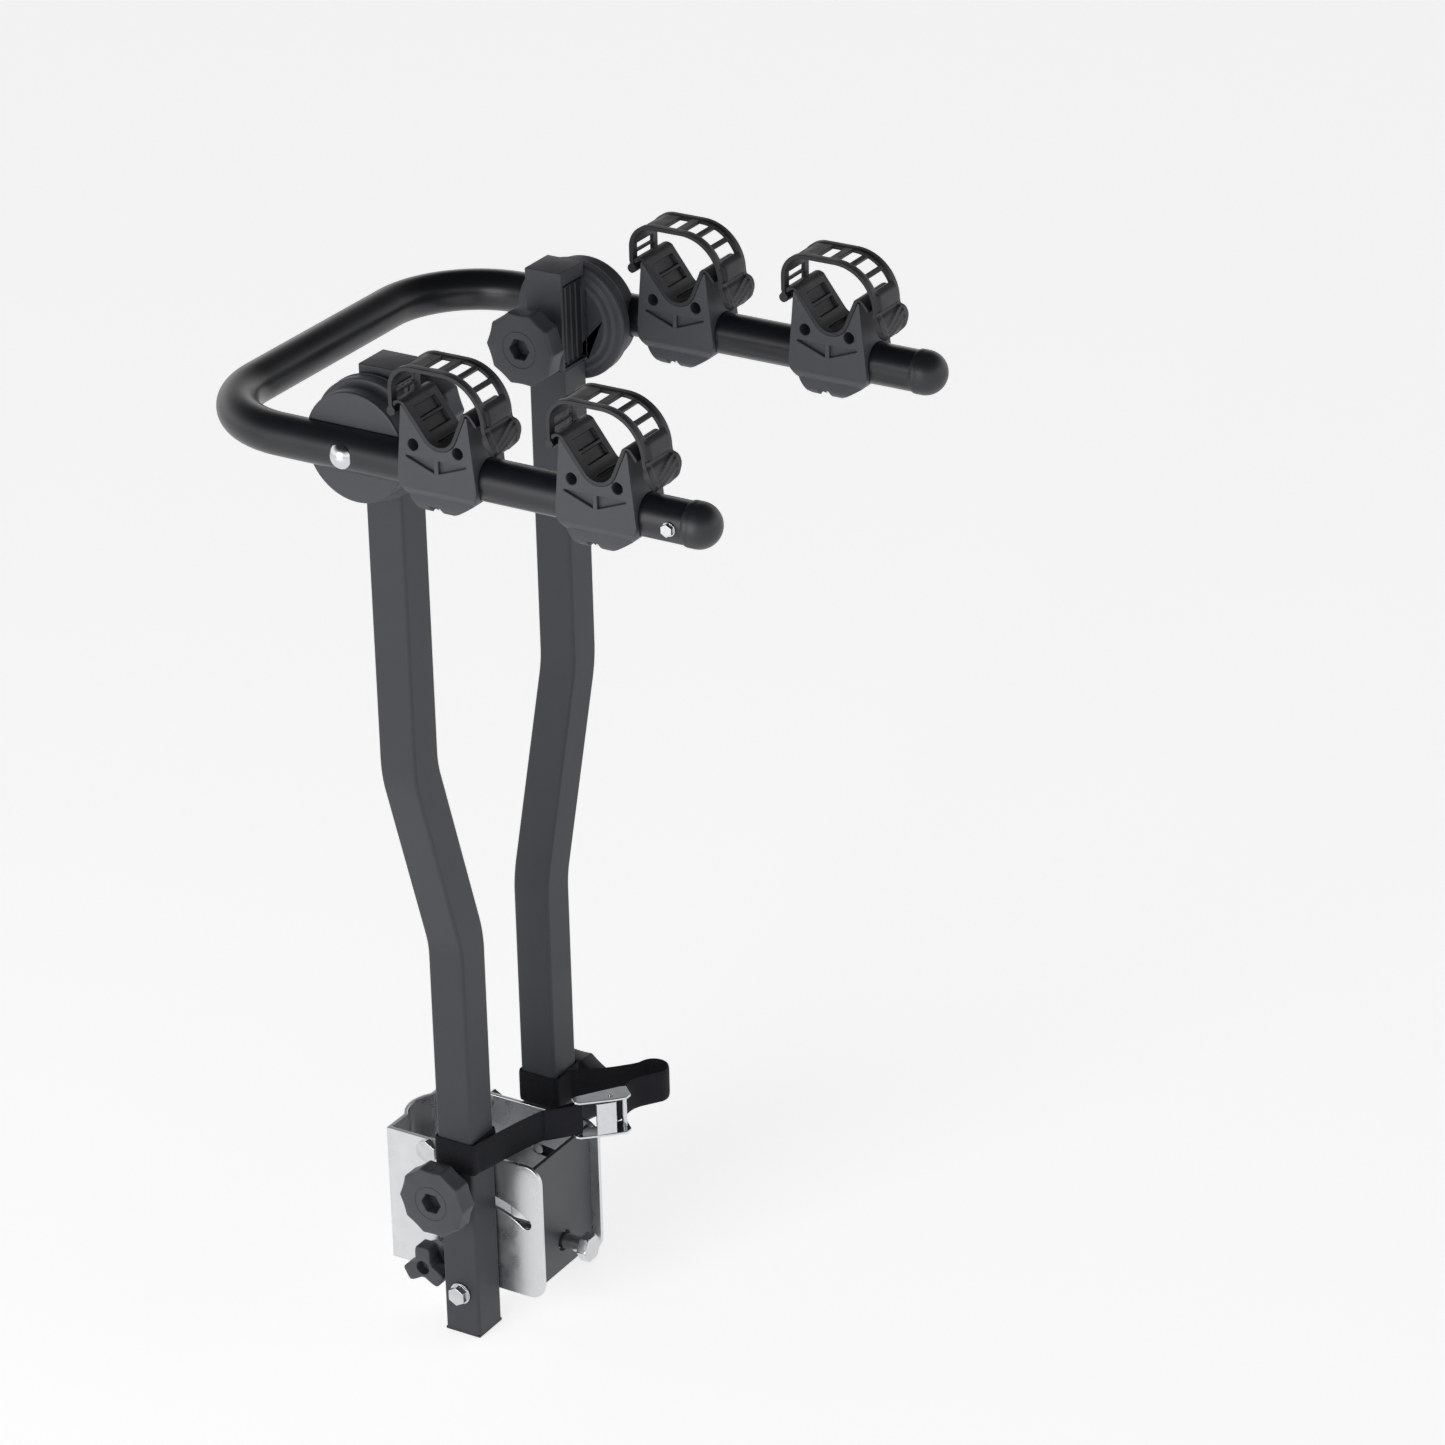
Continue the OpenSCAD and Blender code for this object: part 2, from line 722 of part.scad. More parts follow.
bracket_shell();
front_plate();
clamp_nut();
clamp_bolt();
clamp_jaw();
cross_bolt();
pivot_bolts();
lock_knob();
lock_nut();
post_left();
post_right();
foot_plugs();
slot_bolts();
lower_knob_left();
lower_knob_right();
housing_left();
housing_right();
top_knob_left();
top_knob_right();
webbing_short();
webbing_long();
buckle_frame();
buckle_pin();
buckle_lever();
arm_tube();
end_cap_left();
end_cap_right();
end_screws();
saddle_left();
saddle_right();
fold_bolts();
cradle_1();
cradle_2();
cradle_3();
cradle_4();
cradle_bolts();
liner_1();
liner_2();
liner_3();
liner_4();
strap_1();
strap_2();
strap_3();
strap_4();
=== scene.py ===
"""Tow-ball bike rack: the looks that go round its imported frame."""

import json
import logging
import math
from collections.abc import Sequence
from dataclasses import dataclass
from enum import Enum

import bmesh
import bpy
import numpy as np
from bpy.types import Material, Node, NodeSocket, NodeTree, Object
from mathutils import Matrix

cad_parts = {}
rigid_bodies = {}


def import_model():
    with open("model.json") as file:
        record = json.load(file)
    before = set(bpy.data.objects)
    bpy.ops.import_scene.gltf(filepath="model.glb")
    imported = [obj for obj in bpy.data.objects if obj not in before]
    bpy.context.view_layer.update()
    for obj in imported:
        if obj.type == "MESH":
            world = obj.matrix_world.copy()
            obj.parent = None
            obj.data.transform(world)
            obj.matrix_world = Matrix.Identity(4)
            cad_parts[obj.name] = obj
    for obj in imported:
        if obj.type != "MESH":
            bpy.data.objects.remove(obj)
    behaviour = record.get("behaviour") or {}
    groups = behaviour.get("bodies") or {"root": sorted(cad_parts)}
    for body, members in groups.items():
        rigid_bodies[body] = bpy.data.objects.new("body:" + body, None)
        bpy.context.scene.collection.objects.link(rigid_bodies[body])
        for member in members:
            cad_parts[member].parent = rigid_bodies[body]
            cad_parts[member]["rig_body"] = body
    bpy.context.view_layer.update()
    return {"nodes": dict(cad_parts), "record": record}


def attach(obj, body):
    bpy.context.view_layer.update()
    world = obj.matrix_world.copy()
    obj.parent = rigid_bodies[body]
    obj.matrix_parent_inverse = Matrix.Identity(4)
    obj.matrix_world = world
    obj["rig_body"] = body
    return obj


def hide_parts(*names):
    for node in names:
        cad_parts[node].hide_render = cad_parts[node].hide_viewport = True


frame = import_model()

LOG = logging.getLogger("bike_rack")
Array = np.ndarray
MM = 0.001
POST_PLANE_Y = -59.5  # mm, the posts' centre plane seen from the ball
ARM_AXIS_Z = 682.0  # mm, the arm axis above the ball
FLOOR_Z = -0.0565  # m, just under the posts' feet
MERGE = 2e-6  # m, points closer than this become one
LEVEL = math.radians(0.15)  # faces that meet at less are one flat face
TURN = 2 * math.pi


class Side(Enum):
    """Side of the middle plane that a piece is on."""

    LEFT = -1
    RIGHT = 1

    @property
    def word(self) -> str:
        """The side's name as the frame's nodes spell it."""
        return self.name.lower()


# --- mesh helpers


def chaikin(points: Array, rounds: int) -> Array:
    """Rounds the corners of an open path by cutting each segment at its quarter points.

    Args:
        points: n x d path.
        rounds: How many times the corners are cut.

    Returns:
        The smoother path, with the same two ends.
    """
    for _ in range(rounds):
        a, b = points[:-1], points[1:]
        cut = np.stack([0.75 * a + 0.25 * b, 0.25 * a + 0.75 * b], 1)
        points = np.vstack([points[:1], cut.reshape(-1, points.shape[1]), points[-1:]])
    return points


def cornered(points: Array, cut: float, steps: int = 9) -> Array:
    """Rounds each corner of an open path with a quadratic curve between two cuts.

    The curve is (1 - t)^2 a + 2 t (1 - t) c + t^2 b, with c the corner, and a and b the points
    on its two legs that are the cut away, or a little under half a leg.

    Args:
        points: n x 2 path.
        cut: How far from a corner its rounding starts.
        steps: Points on each rounding.

    Returns:
        The rounded path, with the same two ends.
    """
    legs = np.diff(points, axis=0)
    length = np.linalg.norm(legs, axis=1)
    run = legs / length[:, None]
    back = np.minimum(cut, 0.48 * length[:-1])[:, None]
    ahead = np.minimum(cut, 0.48 * length[1:])[:, None]
    a, b, c = points[1:-1] - run[:-1] * back, points[1:-1] + run[1:] * ahead, points[1:-1]
    t = np.linspace(0, 1, steps)[None, :, None]
    curve = (1 - t) ** 2 * a[:, None] + 2 * t * (1 - t) * c[:, None] + t**2 * b[:, None]
    return np.vstack([points[:1], curve.reshape(-1, 2), points[-1:]])


def arc(centre: Sequence[float], radius: float, start: float, stop: float, steps: int) -> Array:
    """Points of a plane arc, from one angle to another in degrees."""
    turn = np.radians(np.linspace(start, stop, steps))
    return np.asarray(centre, float) + radius * np.stack([np.cos(turn), np.sin(turn)], 1)


def arc_length(points: Array) -> Array:
    """Distance along a path at each of its points."""
    steps = np.linalg.norm(np.diff(points, axis=0), axis=1)
    return np.concatenate([[0.0], np.cumsum(steps)])


def along(points: Array, at: Array) -> tuple[Array, Array]:
    """Points and left-hand unit normals of a plane path at given distances along it.

    Args:
        points: n x 2 path.
        at: Distances from its start.

    Returns:
        The points and the normals, each len(at) x 2.
    """
    s = arc_length(points)
    chord = 0.4  # half the length that a direction is taken over
    place, ahead, behind = (
        np.stack([np.interp(at + d, s, points[:, k]) for k in (0, 1)], 1)
        for d in (0.0, chord, -chord)
    )
    run = ahead - behind
    run /= np.linalg.norm(run, axis=1)[:, None]
    return place, np.stack([-run[:, 1], run[:, 0]], 1)


def lines(length: float, step: float, edges: Sequence[float] = ()) -> Array:
    """Grid lines from 0 to length, about a step apart, that also pass through given edges.

    Args:
        length: Where the last line is.
        step: Spacing where nothing else asks for a line.
        edges: Places that must have a line.

    Returns:
        The sorted lines. A free line less than 0.45 of a step from a given one is left out.
    """
    must = np.unique(np.clip(np.round([0.0, length, *edges], 4), 0, length))
    free = np.linspace(0, length, max(2, int(length / step) + 1))
    near = np.abs(free[:, None] - must[None, :]).min(1) < step * 0.45
    return np.sort(np.concatenate([must, free[~near]]))


def box_wave(x: Array, low: float, high: float, ramp: float) -> Array:
    """1 between low and high, 0 outside, with a smooth ramp of the given width at each end."""
    up = np.clip((x - low) / ramp + 0.5, 0, 1)
    down = np.clip((high - x) / ramp + 0.5, 0, 1)
    w = np.minimum(up, down)
    return w * w * (3 - 2 * w)


def grid_faces(rows: int, columns: int, wrap_rows: bool, wrap_columns: bool) -> Array:
    """Quads of a grid of points numbered row by row.

    Args:
        rows: Count of rows.
        columns: Count of points in a row.
        wrap_rows: Whether the last row joins the first.
        wrap_columns: Whether each row is a closed ring.

    Returns:
        k x 4 point numbers.
    """
    i = np.arange(rows if wrap_rows else rows - 1)
    j = np.arange(columns if wrap_columns else columns - 1)
    a, b = np.meshgrid(i, j, indexing="ij")
    a2, b2 = (a + 1) % rows, (b + 1) % columns
    quads = [a * columns + b, a2 * columns + b, a2 * columns + b2, a * columns + b2]
    return np.stack(quads, -1).reshape(-1, 4)


def slab(outer: Array, inner: Array, keep: Array | None = None) -> tuple[Array, Array]:
    """Closed solid between two m x n grids: both skins, and a wall wherever a kept cell ends.

    Args:
        outer: m x n x 3 points of one skin.
        inner: m x n x 3 points of the other.
        keep: (m-1) x (n-1), False where there is a window, or None if there are none.

    Returns:
        Points and quads.
    """
    m, n, _ = outer.shape
    keep = np.ones((m - 1, n - 1), bool) if keep is None else keep
    number = np.arange(m * n).reshape(m, n)
    skin = np.stack([number[:-1, :-1], number[1:, :-1], number[1:, 1:], number[:-1, 1:]], -1)[keep]
    cells = np.pad(keep, 1)
    along_u = cells[1:-1, :-1] != cells[1:-1, 1:]
    along_v = cells[:-1, 1:-1] != cells[1:, 1:-1]
    first = np.concatenate([number[:-1, :][along_u], number[:, :-1][along_v]])
    second = np.concatenate([number[1:, :][along_u], number[:, 1:][along_v]])
    walls = np.stack([first, second, second + m * n, first + m * n], -1)
    faces = np.concatenate([skin, skin[:, ::-1] + m * n, walls])
    used, faces = np.unique(faces, return_inverse=True)
    points = np.concatenate([outer.reshape(-1, 3), inner.reshape(-1, 3)])[used]
    return points, faces.reshape(-1, 4)


def ring_frames(path: Array, section: Array, up: Array) -> Array:
    """Carries a closed section along a space path.

    A section point (a, b) sits a along the sideways direction, up x run, and b along the
    direction square to both, so the section stays square to the path.

    Args:
        path: n x 3 centreline.
        section: k x 2 outline.
        up: Direction that the section's b side leans to.

    Returns:
        n x k x 3 points.
    """
    run = np.gradient(path, axis=0)
    run /= np.linalg.norm(run, axis=1)[:, None]
    side = np.cross(up, run)
    side /= np.linalg.norm(side, axis=1)[:, None]
    side, lift = side[:, None], np.cross(run, side)[:, None]
    return path[:, None] + side * section[None, :, :1] + lift * section[None, :, 1:]


def rounded_square(half: float, radius: float, steps: int) -> Array:
    """Outline of a square of half width half, with its corners rounded in the given steps."""
    turn = np.linspace(0, TURN / 4, steps + 1)
    corner = np.stack([np.cos(turn), np.sin(turn)], 1) * radius + (half - radius)
    turns = ([[0, -1], [1, 0]], [[-1, 0], [0, -1]], [[0, 1], [-1, 0]])
    return np.concatenate([corner] + [corner @ np.array(q).T for q in turns])


def capped_sweep(rings: Array) -> list[list[int]]:
    """Faces of a tube given ring by ring, with one face over each end."""
    rows, count, _ = rings.shape
    ends = [list(range(count)), list(range((rows - 1) * count, rows * count))]
    return grid_faces(rows, count, False, True).tolist() + ends


def revolved(
    start: Sequence[float], outward: int, out: Array, radius: Array, around: int
) -> Array:
    """Carries rows about an axis that lies along X.

    Args:
        start: The point of the axis where out is 0.
        outward: 1 if out grows along +X, or -1.
        out: How far along the axis each row is.
        radius: A radius for each row, or for each row and angle.
        around: Points in a row.

    Returns:
        n x 3 points, row by row.
    """
    turn = np.linspace(0, TURN, around, endpoint=False)
    radius = radius.reshape(len(out), -1)
    x = start[0] + outward * out[:, None] + 0 * turn
    y = start[1] + radius * np.cos(turn)
    z = start[2] + radius * np.sin(turn)
    return np.stack([x, y, z], -1).reshape(-1, 3)


def lifted(
    centre: Sequence[float], place: Array, normal: Array, across: Array, height: Array
) -> Array:
    """Grid of points lifted off a (y, z) path.

    Args:
        centre: X and Y that the path is seen from.
        place: The path's point for each row.
        normal: Its normal for each row.
        across: How far aside each grid point is.
        height: How far off the path each grid point is.

    Returns:
        m x n x 3 points.
    """
    flat = place[:, None] + normal[:, None] * height[..., None]
    return np.stack([centre[0] + across, centre[1] + flat[..., 0], flat[..., 1]], -1)


def linked(name: str, data: bpy.types.ID) -> Object:
    """Makes an object that shows some data and links it into the scene."""
    shown = bpy.data.objects.new(name, data)
    bpy.context.scene.collection.objects.link(shown)
    return shown


def aimed(name: str, data: bpy.types.ID, place: Sequence[float], *axes: Array) -> Object:
    """Links a camera or a lamp at a place, turned to the given x, y and z axes."""
    shown = linked(name, data)
    turn = Matrix(np.column_stack(axes).tolist())
    shown.matrix_world = Matrix.Translation(place) @ turn.to_4x4()
    return shown


def cleaned(mesh: bpy.types.Mesh, flatten: bool) -> None:
    """Merges a mesh's doubles, then joins its level faces or points every face outwards."""
    work = bmesh.new()
    work.from_mesh(mesh)
    bmesh.ops.remove_doubles(work, verts=work.verts, dist=MERGE)
    if flatten:
        bmesh.ops.dissolve_limit(work, angle_limit=LEVEL, verts=work.verts, edges=work.edges)
    else:
        bmesh.ops.recalc_face_normals(work, faces=work.faces)
    work.to_mesh(mesh)
    work.free()


def smooth_by_angle(mesh: bpy.types.Mesh, degrees: float) -> None:
    """Shades a mesh smooth, apart from edges sharper than the angle."""
    mesh.polygons.foreach_set("use_smooth", np.ones(len(mesh.polygons), bool))
    mesh.set_sharp_from_angle(angle=math.radians(degrees))


def piece(
    name: str,
    points_mm: Array,
    faces: Array | list[list[int]],
    finish: Material,
    crease: float = 38.0,
    uv: Array | None = None,
) -> Object:
    """Makes an object at the origin from points seen from the arm axis and the posts' plane.

    Args:
        name: The piece's name.
        points_mm: n x 3 points.
        faces: Point numbers of each face.
        finish: Its material.
        crease: Edges sharper than this many degrees stay sharp.
        uv: n x 2 pattern coordinates in metres, or None.

    Returns:
        The linked object, its doubles merged and its faces pointing outwards.
    """
    mesh = bpy.data.meshes.new(name)
    place = (np.asarray(points_mm, float) + [0.0, POST_PLANE_Y, ARM_AXIS_Z]) * MM
    rows = faces.tolist() if isinstance(faces, Array) else faces
    mesh.from_pydata(place, [], rows)
    if uv is not None:
        loops = np.zeros(len(mesh.loops), np.int32)
        mesh.loops.foreach_get("vertex_index", loops)
        layer = mesh.uv_layers.new(name="cloth")
        layer.data.foreach_set("uv", uv[loops].astype(np.float32).ravel())
    cleaned(mesh, flatten=False)
    smooth_by_angle(mesh, crease)
    mesh.materials.append(finish)
    return linked(name, mesh)


def even_faces(shown: Object) -> None:
    """Lets a piece's large faces rule its shading, so that flat ones stay flat."""
    shown.modifiers.new("face shading", "WEIGHTED_NORMAL").keep_sharp = True


def soften_edges(shown: Object, width_mm: float, angle: float = 35.0) -> None:
    """Adds a small rounding to a piece's sharp edges.

    Args:
        shown: The piece.
        width_mm: Width of the rounding.
        angle: Edges sharper than this many degrees are rounded.
    """
    rounding = shown.modifiers.new("edge rounding", "BEVEL")
    rounding.width = width_mm * MM
    rounding.segments = 2
    rounding.limit_method = "ANGLE"
    rounding.angle_limit = math.radians(angle)
    rounding.use_clamp_overlap = False
    rounding.harden_normals = False
    even_faces(shown)


def dress(shown: Object, body: str, slot: str, *nodes: str) -> Object:
    """Gives a piece its body, and lets it stand for CAD nodes."""
    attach(shown, body)
    if nodes:
        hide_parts(*nodes)
    LOG.info("%s rides on %s for %s", shown.name, body, ", ".join(nodes) or "no node")
    return shown


def softened(node: str, finish: Material, edge_mm: float) -> Object:
    """Copies a CAD node as clean faces with softened edges, to stand for it.

    Args:
        node: The node's name.
        finish: Its material.
        edge_mm: Width of the rounding on its edges.

    Returns:
        The new piece, dressed like the node.
    """
    source = frame["nodes"][node]
    mesh = source.data.copy()
    mesh.name = f"{node}_finished"
    custom = mesh.attributes.get("custom_normal")
    if custom is not None:
        mesh.attributes.remove(custom)
    cleaned(mesh, flatten=True)
    mesh.materials.clear()
    mesh.materials.append(finish)
    smooth_by_angle(mesh, 32)
    shown = linked(f"{node}_finished", mesh)
    soften_edges(shown, edge_mm)
    slots = {s["node"]: s["material_slot"] for s in frame["record"]["subparts"]}
    return dress(shown, source["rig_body"], slots[node], node)


# --- finishes


def linear(code: str) -> tuple[float, float, float, float]:
    """Linear RGBA of an sRGB hex colour such as #2b2d30."""
    parts = [int(code[k : k + 2], 16) / 255 for k in (1, 3, 5)]
    made = [c / 12.92 if c <= 0.04045 else ((c + 0.055) / 1.055) ** 2.4 for c in parts]
    return (*made, 1.0)


def add(
    tree: NodeTree, kind: str, inputs: dict[str | int, object] | None = None, **settings: object
) -> Node:
    """Adds a node to a tree.

    Args:
        tree: The node tree.
        kind: Node type, such as ShaderNodeBump.
        inputs: What goes into each socket: a value, a socket, or a node for its first output.
        settings: The node's own properties.

    Returns:
        The new node.
    """
    made = tree.nodes.new(kind)
    for key, value in settings.items():
        setattr(made, key, value)
    for key, value in (inputs or {}).items():
        value = value.outputs[0] if isinstance(value, Node) else value
        if isinstance(value, NodeSocket):
            tree.links.new(value, made.inputs[key])
        else:
            made.inputs[key].default_value = value
    return made


def fresh_tree(owner: Material | bpy.types.World) -> NodeTree:
    """Gives a material or a world an empty node tree."""
    owner.use_nodes = True
    owner.node_tree.nodes.clear()
    return owner.node_tree


def per_mm(size_mm: float) -> float:
    """Scale of a pattern on metre coordinates whose features are size_mm apart."""
    return 1.0 / (size_mm * MM)


@dataclass(frozen=True)
class Finish:
    """A surface: two tones that drift into each other, a fine grain, and a gloss that varies.

    Fields are sRGB colours, roughness at the smooth and the dull spots, the grain's size and
    height, and the size of the patches that the tones drift over.
    """

    name: str
    light: str
    dark: str
    gloss: tuple[float, float]
    grain_mm: float
    grain_height_mm: float
    patch_mm: float
    metallic: float = 0.0
    ior: float = 1.5
    coat: float = 0.0
    sheen: float = 0.0
    specular: float = 0.5
    stretch: tuple[float, float, float] = (1.0, 1.0, 1.0)

    def material(self) -> Material:
        """Builds the node material."""
        made = bpy.data.materials.new(self.name)
        tree = fresh_tree(made)
        place = add(tree, "ShaderNodeTexCoord").outputs["Object"]
        drawn = add(tree, "ShaderNodeMapping", {"Vector": place, "Scale": self.stretch})
        patches, grain = (
            add(tree, "ShaderNodeTexNoise", {"Vector": at, "Scale": per_mm(size), "Detail": detail})
            for at, size, detail in ((place, self.patch_mm, 4.0), (drawn, self.grain_mm, 3.0))
        )
        tones = {"Factor": patches, 6: linear(self.dark), 7: linear(self.light)}
        smooth, dull = self.gloss
        spread = {"From Min": 0.3, "From Max": 0.7, "To Min": smooth, "To Max": dull}
        relief = {"Height": grain, "Distance": self.grain_height_mm * MM, "Strength": 1.0}
        shader = add(
            tree,
            "ShaderNodeBsdfPrincipled",
            {
                "Base Color": add(tree, "ShaderNodeMix", tones, data_type="RGBA").outputs[2],
                "Roughness": add(tree, "ShaderNodeMapRange", {"Value": patches, **spread}),
                "Normal": add(tree, "ShaderNodeBump", relief),
                "Metallic": self.metallic,
                "Coat Weight": self.coat,
                "Sheen Weight": self.sheen,
            },
        )
        if self.metallic < 0.5:
            shader.inputs["IOR"].default_value = self.ior
            shader.inputs["Specular IOR Level"].default_value = self.specular
        add(tree, "ShaderNodeOutputMaterial", {"Surface": shader})
        return made


@dataclass(frozen=True)
class WovenWebbing:
    """Black polyester webbing, plain woven: ribs run along it and picks cross it."""

    name: str = "woven polyester webbing"
    light: str = "#22242a"
    dark: str = "#020203"
    rib_mm: float = 2.4  # real ribs are about 1 mm apart: drawn coarser so that they show
    pick_mm: float = 2.0
    fibre_mm: float = 0.9
    height_mm: float = 0.3

    def material(self) -> Material:
        """Builds the node material on the strap's own UV map, in metres."""
        made = bpy.data.materials.new(self.name)
        tree = fresh_tree(made)
        uv = add(tree, "ShaderNodeUVMap", uv_map="cloth")
        axes = add(tree, "ShaderNodeSeparateXYZ", {"Vector": uv})
        waves = []
        for axis, pitch in (("Y", self.rib_mm), ("X", self.pick_mm)):
            turned = {0: axes.outputs[axis], 1: TURN / (pitch * MM)}
            phase = add(tree, "ShaderNodeMath", turned, operation="MULTIPLY")
            waves.append(add(tree, "ShaderNodeMath", {0: phase}, operation="SINE"))
        both = add(tree, "ShaderNodeMath", dict(enumerate(waves)), operation="MULTIPLY")
        weave = add(tree, "ShaderNodeMapRange", {"Value": both, "From Min": -1.0, "From Max": 1.0})
        place = add(tree, "ShaderNodeTexCoord").outputs["Object"]
        spread = {"Vector": place, "Scale": per_mm(self.fibre_mm), "Detail": 3.0}
        fibre = add(tree, "ShaderNodeTexNoise", spread)
        shares = {"Factor": 0.4, 2: weave, 3: fibre}
        mixed = add(tree, "ShaderNodeMix", shares, data_type="FLOAT").outputs[0]
        tones = {"Factor": mixed, 6: linear(self.dark), 7: linear(self.light)}
        relief = {"Height": mixed, "Distance": self.height_mm * MM}
        shader = add(
            tree,
            "ShaderNodeBsdfPrincipled",
            {
                "Base Color": add(tree, "ShaderNodeMix", tones, data_type="RGBA").outputs[2],
                "Roughness": 0.8,
                "Normal": add(tree, "ShaderNodeBump", relief),
                "Sheen Weight": 0.04,
                "Specular IOR Level": 0.18,
            },
        )
        add(tree, "ShaderNodeOutputMaterial", {"Surface": shader})
        return made


class Paint:
    """The rack's finishes, each made once."""

    def __init__(self) -> None:
        """Builds every material."""
        # Satin polyester powder coat: even and grey, with a soft orange peel.
        self.post = Finish(
            "powder coated steel", "#414347", "#393b3f", (0.42, 0.52), 1.1, 0.035, 60.0,
            specular=0.22,
        ).material()
        # The same coat on the arms, darker and a little glossier.
        self.arm = Finish(
            "black powder coated tube", "#1b1d22", "#15171b", (0.28, 0.36), 1.0, 0.02, 50.0
        ).material()
        # Glass filled nylon: spark eroded texture that breaks up its gloss.
        self.nylon = Finish(
            "moulded nylon", "#45474c", "#3b3d42", (0.42, 0.52), 0.8, 0.04, 25.0, specular=0.35
        ).material()
        self.nylon_black = Finish(
            "moulded black nylon", "#24262a", "#1b1d20", (0.36, 0.46), 0.8, 0.035, 20.0
        ).material()
        # EPDM rubber: blue-black, with a faint bloom.
        self.rubber = Finish(
            "moulded rubber", "#181b21", "#101216", (0.42, 0.55), 0.6, 0.03, 12.0, ior=1.52
        ).material()
        # Zinc plate on rolled sheet: bright, with a cloudy gloss and faint rolling lines.
        self.zinc = Finish(
            "zinc plated sheet", "#e2e3e4", "#cfd1d3", (0.24, 0.36), 0.9, 0.007, 14.0,
            metallic=1.0, stretch=(0.06, 0.06, 1.0),
        ).material()
        # The same plate on forged and turned heads: smoother, with smaller clouds.
        self.bolt = Finish(
            "zinc plated bolt", "#dcdddd", "#bfc1c3", (0.16, 0.27), 0.5, 0.008, 5.0, metallic=1.0
        ).material()
        # Polished nickel and chrome: mirror-like, a little worn.
        self.chrome = Finish(
            "polished plated buckle", "#dfe1e4", "#c9ccd0", (0.10, 0.20), 0.9, 0.006, 6.0,
            metallic=1.0,
        ).material()
        # Grey electrocoat on flat plate: thin, even, a touch softer than powder.
        self.plate = Finish(
            "electrocoated plate", "#404347", "#383b3f", (0.40, 0.50), 0.9, 0.02, 40.0
        ).material()
        self.webbing = WovenWebbing().material()


# --- posts and arms


@dataclass
class CrankedPost:
    """Square tube that runs straight, leans in between its knees, then runs straight again."""

    side: Side
    width: float = 30.0
    corner: float = 2.6
    top: tuple[float, float] = (103.5, -26.0)
    low_x: float = 56.5
    knees: tuple[float, float] = (-259.0, -414.0)
    foot: float = -736.0
    bend: float = 80.0

    def centreline(self) -> Array:
        """Points (x, z) down the post, with an arc of the bend radius at each knee."""
        (x0, z0), x1 = self.top, self.low_x
        upper, lower = self.knees
        lean = math.atan2(x0 - x1, upper - lower)
        t, turn = self.bend * math.tan(lean / 2), math.degrees(lean)
        first = arc([x0 - self.bend, upper + t], self.bend, 0, -turn, 17)
        second = arc([x1 + self.bend, lower - t], self.bend, 180 - turn, 180, 17)
        return np.vstack([[x0, z0], first, second, [x1, self.foot]])

    def build(self, paint: Paint) -> None:
        """Sweeps the rounded square down the centreline and caps both ends."""
        line = self.centreline()
        path = np.stack([line[:, 0] * self.side.value, np.zeros(len(line)), line[:, 1]], 1)
        section = rounded_square(self.width / 2, self.corner, 6)
        rings = ring_frames(path, section, np.array([0.0, 1.0, 0.0]))
        name = f"post_{self.side.word}"
        tube = rings.reshape(-1, 3)
        shown = piece(f"{name}_tube", tube, capped_sweep(rings), paint.post, crease=40)
        even_faces(shown)
        dress(shown, "posts", "post_paint", name)


@dataclass
class ArmFrame:
    """The U of round tube with its two end caps."""

    radius: float = 15.0
    arm_x: float = 151.5
    end_y: float = -270.5
    reach: float = -272.5
    crossbar_y: float = 128.0
    bend: float = 70.0
    around: int = 64

    def centreline(self) -> Array:
        """Points (x, y) from the left arm's end round both bends to the right arm's end."""
        centre = self.arm_x - self.bend, self.crossbar_y - self.bend
        right = arc(centre, self.bend, 0, 90, 25)
        half = np.vstack([[self.arm_x, self.end_y], right])
        return np.vstack([half * [-1, 1], half[::-1]])

    def tube(self, paint: Paint) -> None:
        """Sweeps a circle round the U, with square-cut ends."""
        line = self.centreline()
        path = np.column_stack([line, np.zeros(len(line))])
        turn = np.linspace(0, TURN, self.around, endpoint=False)
        section = np.stack([np.cos(turn), np.sin(turn)], 1) * self.radius
        rings = ring_frames(path, section, np.array([0.0, 0.0, 1.0]))
        shown = piece("arm_tube_bent", rings.reshape(-1, 3), capped_sweep(rings), paint.arm)
        dress(shown, "arms", "arm_paint", "arm_tube")

    def cap(self, side: Side, paint: Paint) -> None:
        """Turns the end cap: a dome, a shallow moulding line, and a sleeve over the tube.

        The profile gives (radius, distance behind the dome's centre) and is carried round the
        arm's axis.
        """
        r = self.radius + 1.0
        dome = arc((0.0, 0.0), r, -90, 0, 18)
        sleeve = np.array(
            [[r, 0.6], [r - 0.25, 0.9], [r - 0.25, 1.3], [r - 0.05, 1.6], [r - 0.05, 5.0],
             [r - 0.4, 5.5], [15.05, 5.5], [15.05, 2.05], [12.9, 2.05], [12.9, 20.0], [0.0, 20.0]]
        )
        profile = np.vstack([dome, sleeve])
        turn = np.linspace(0, TURN, self.around, endpoint=False)
        x = self.arm_x * side.value + profile[:, :1] * np.cos(turn)
        z = profile[:, :1] * np.sin(turn)
        y = self.reach + profile[:, 1:] + 0 * turn
        points = np.stack([x, y, z], -1).reshape(-1, 3)
        faces = grid_faces(len(profile), self.around, False, True)
        node = f"end_cap_{side.word}"
        shown = piece(f"{node}_dome", points, faces, paint.nylon_black)
        dress(shown, "arms", "black_plastic", node)

    def build(self, paint: Paint) -> None:
        """Builds the tube and both caps."""
        self.tube(paint)
        for side in Side:
            self.cap(side, paint)


# --- knobs


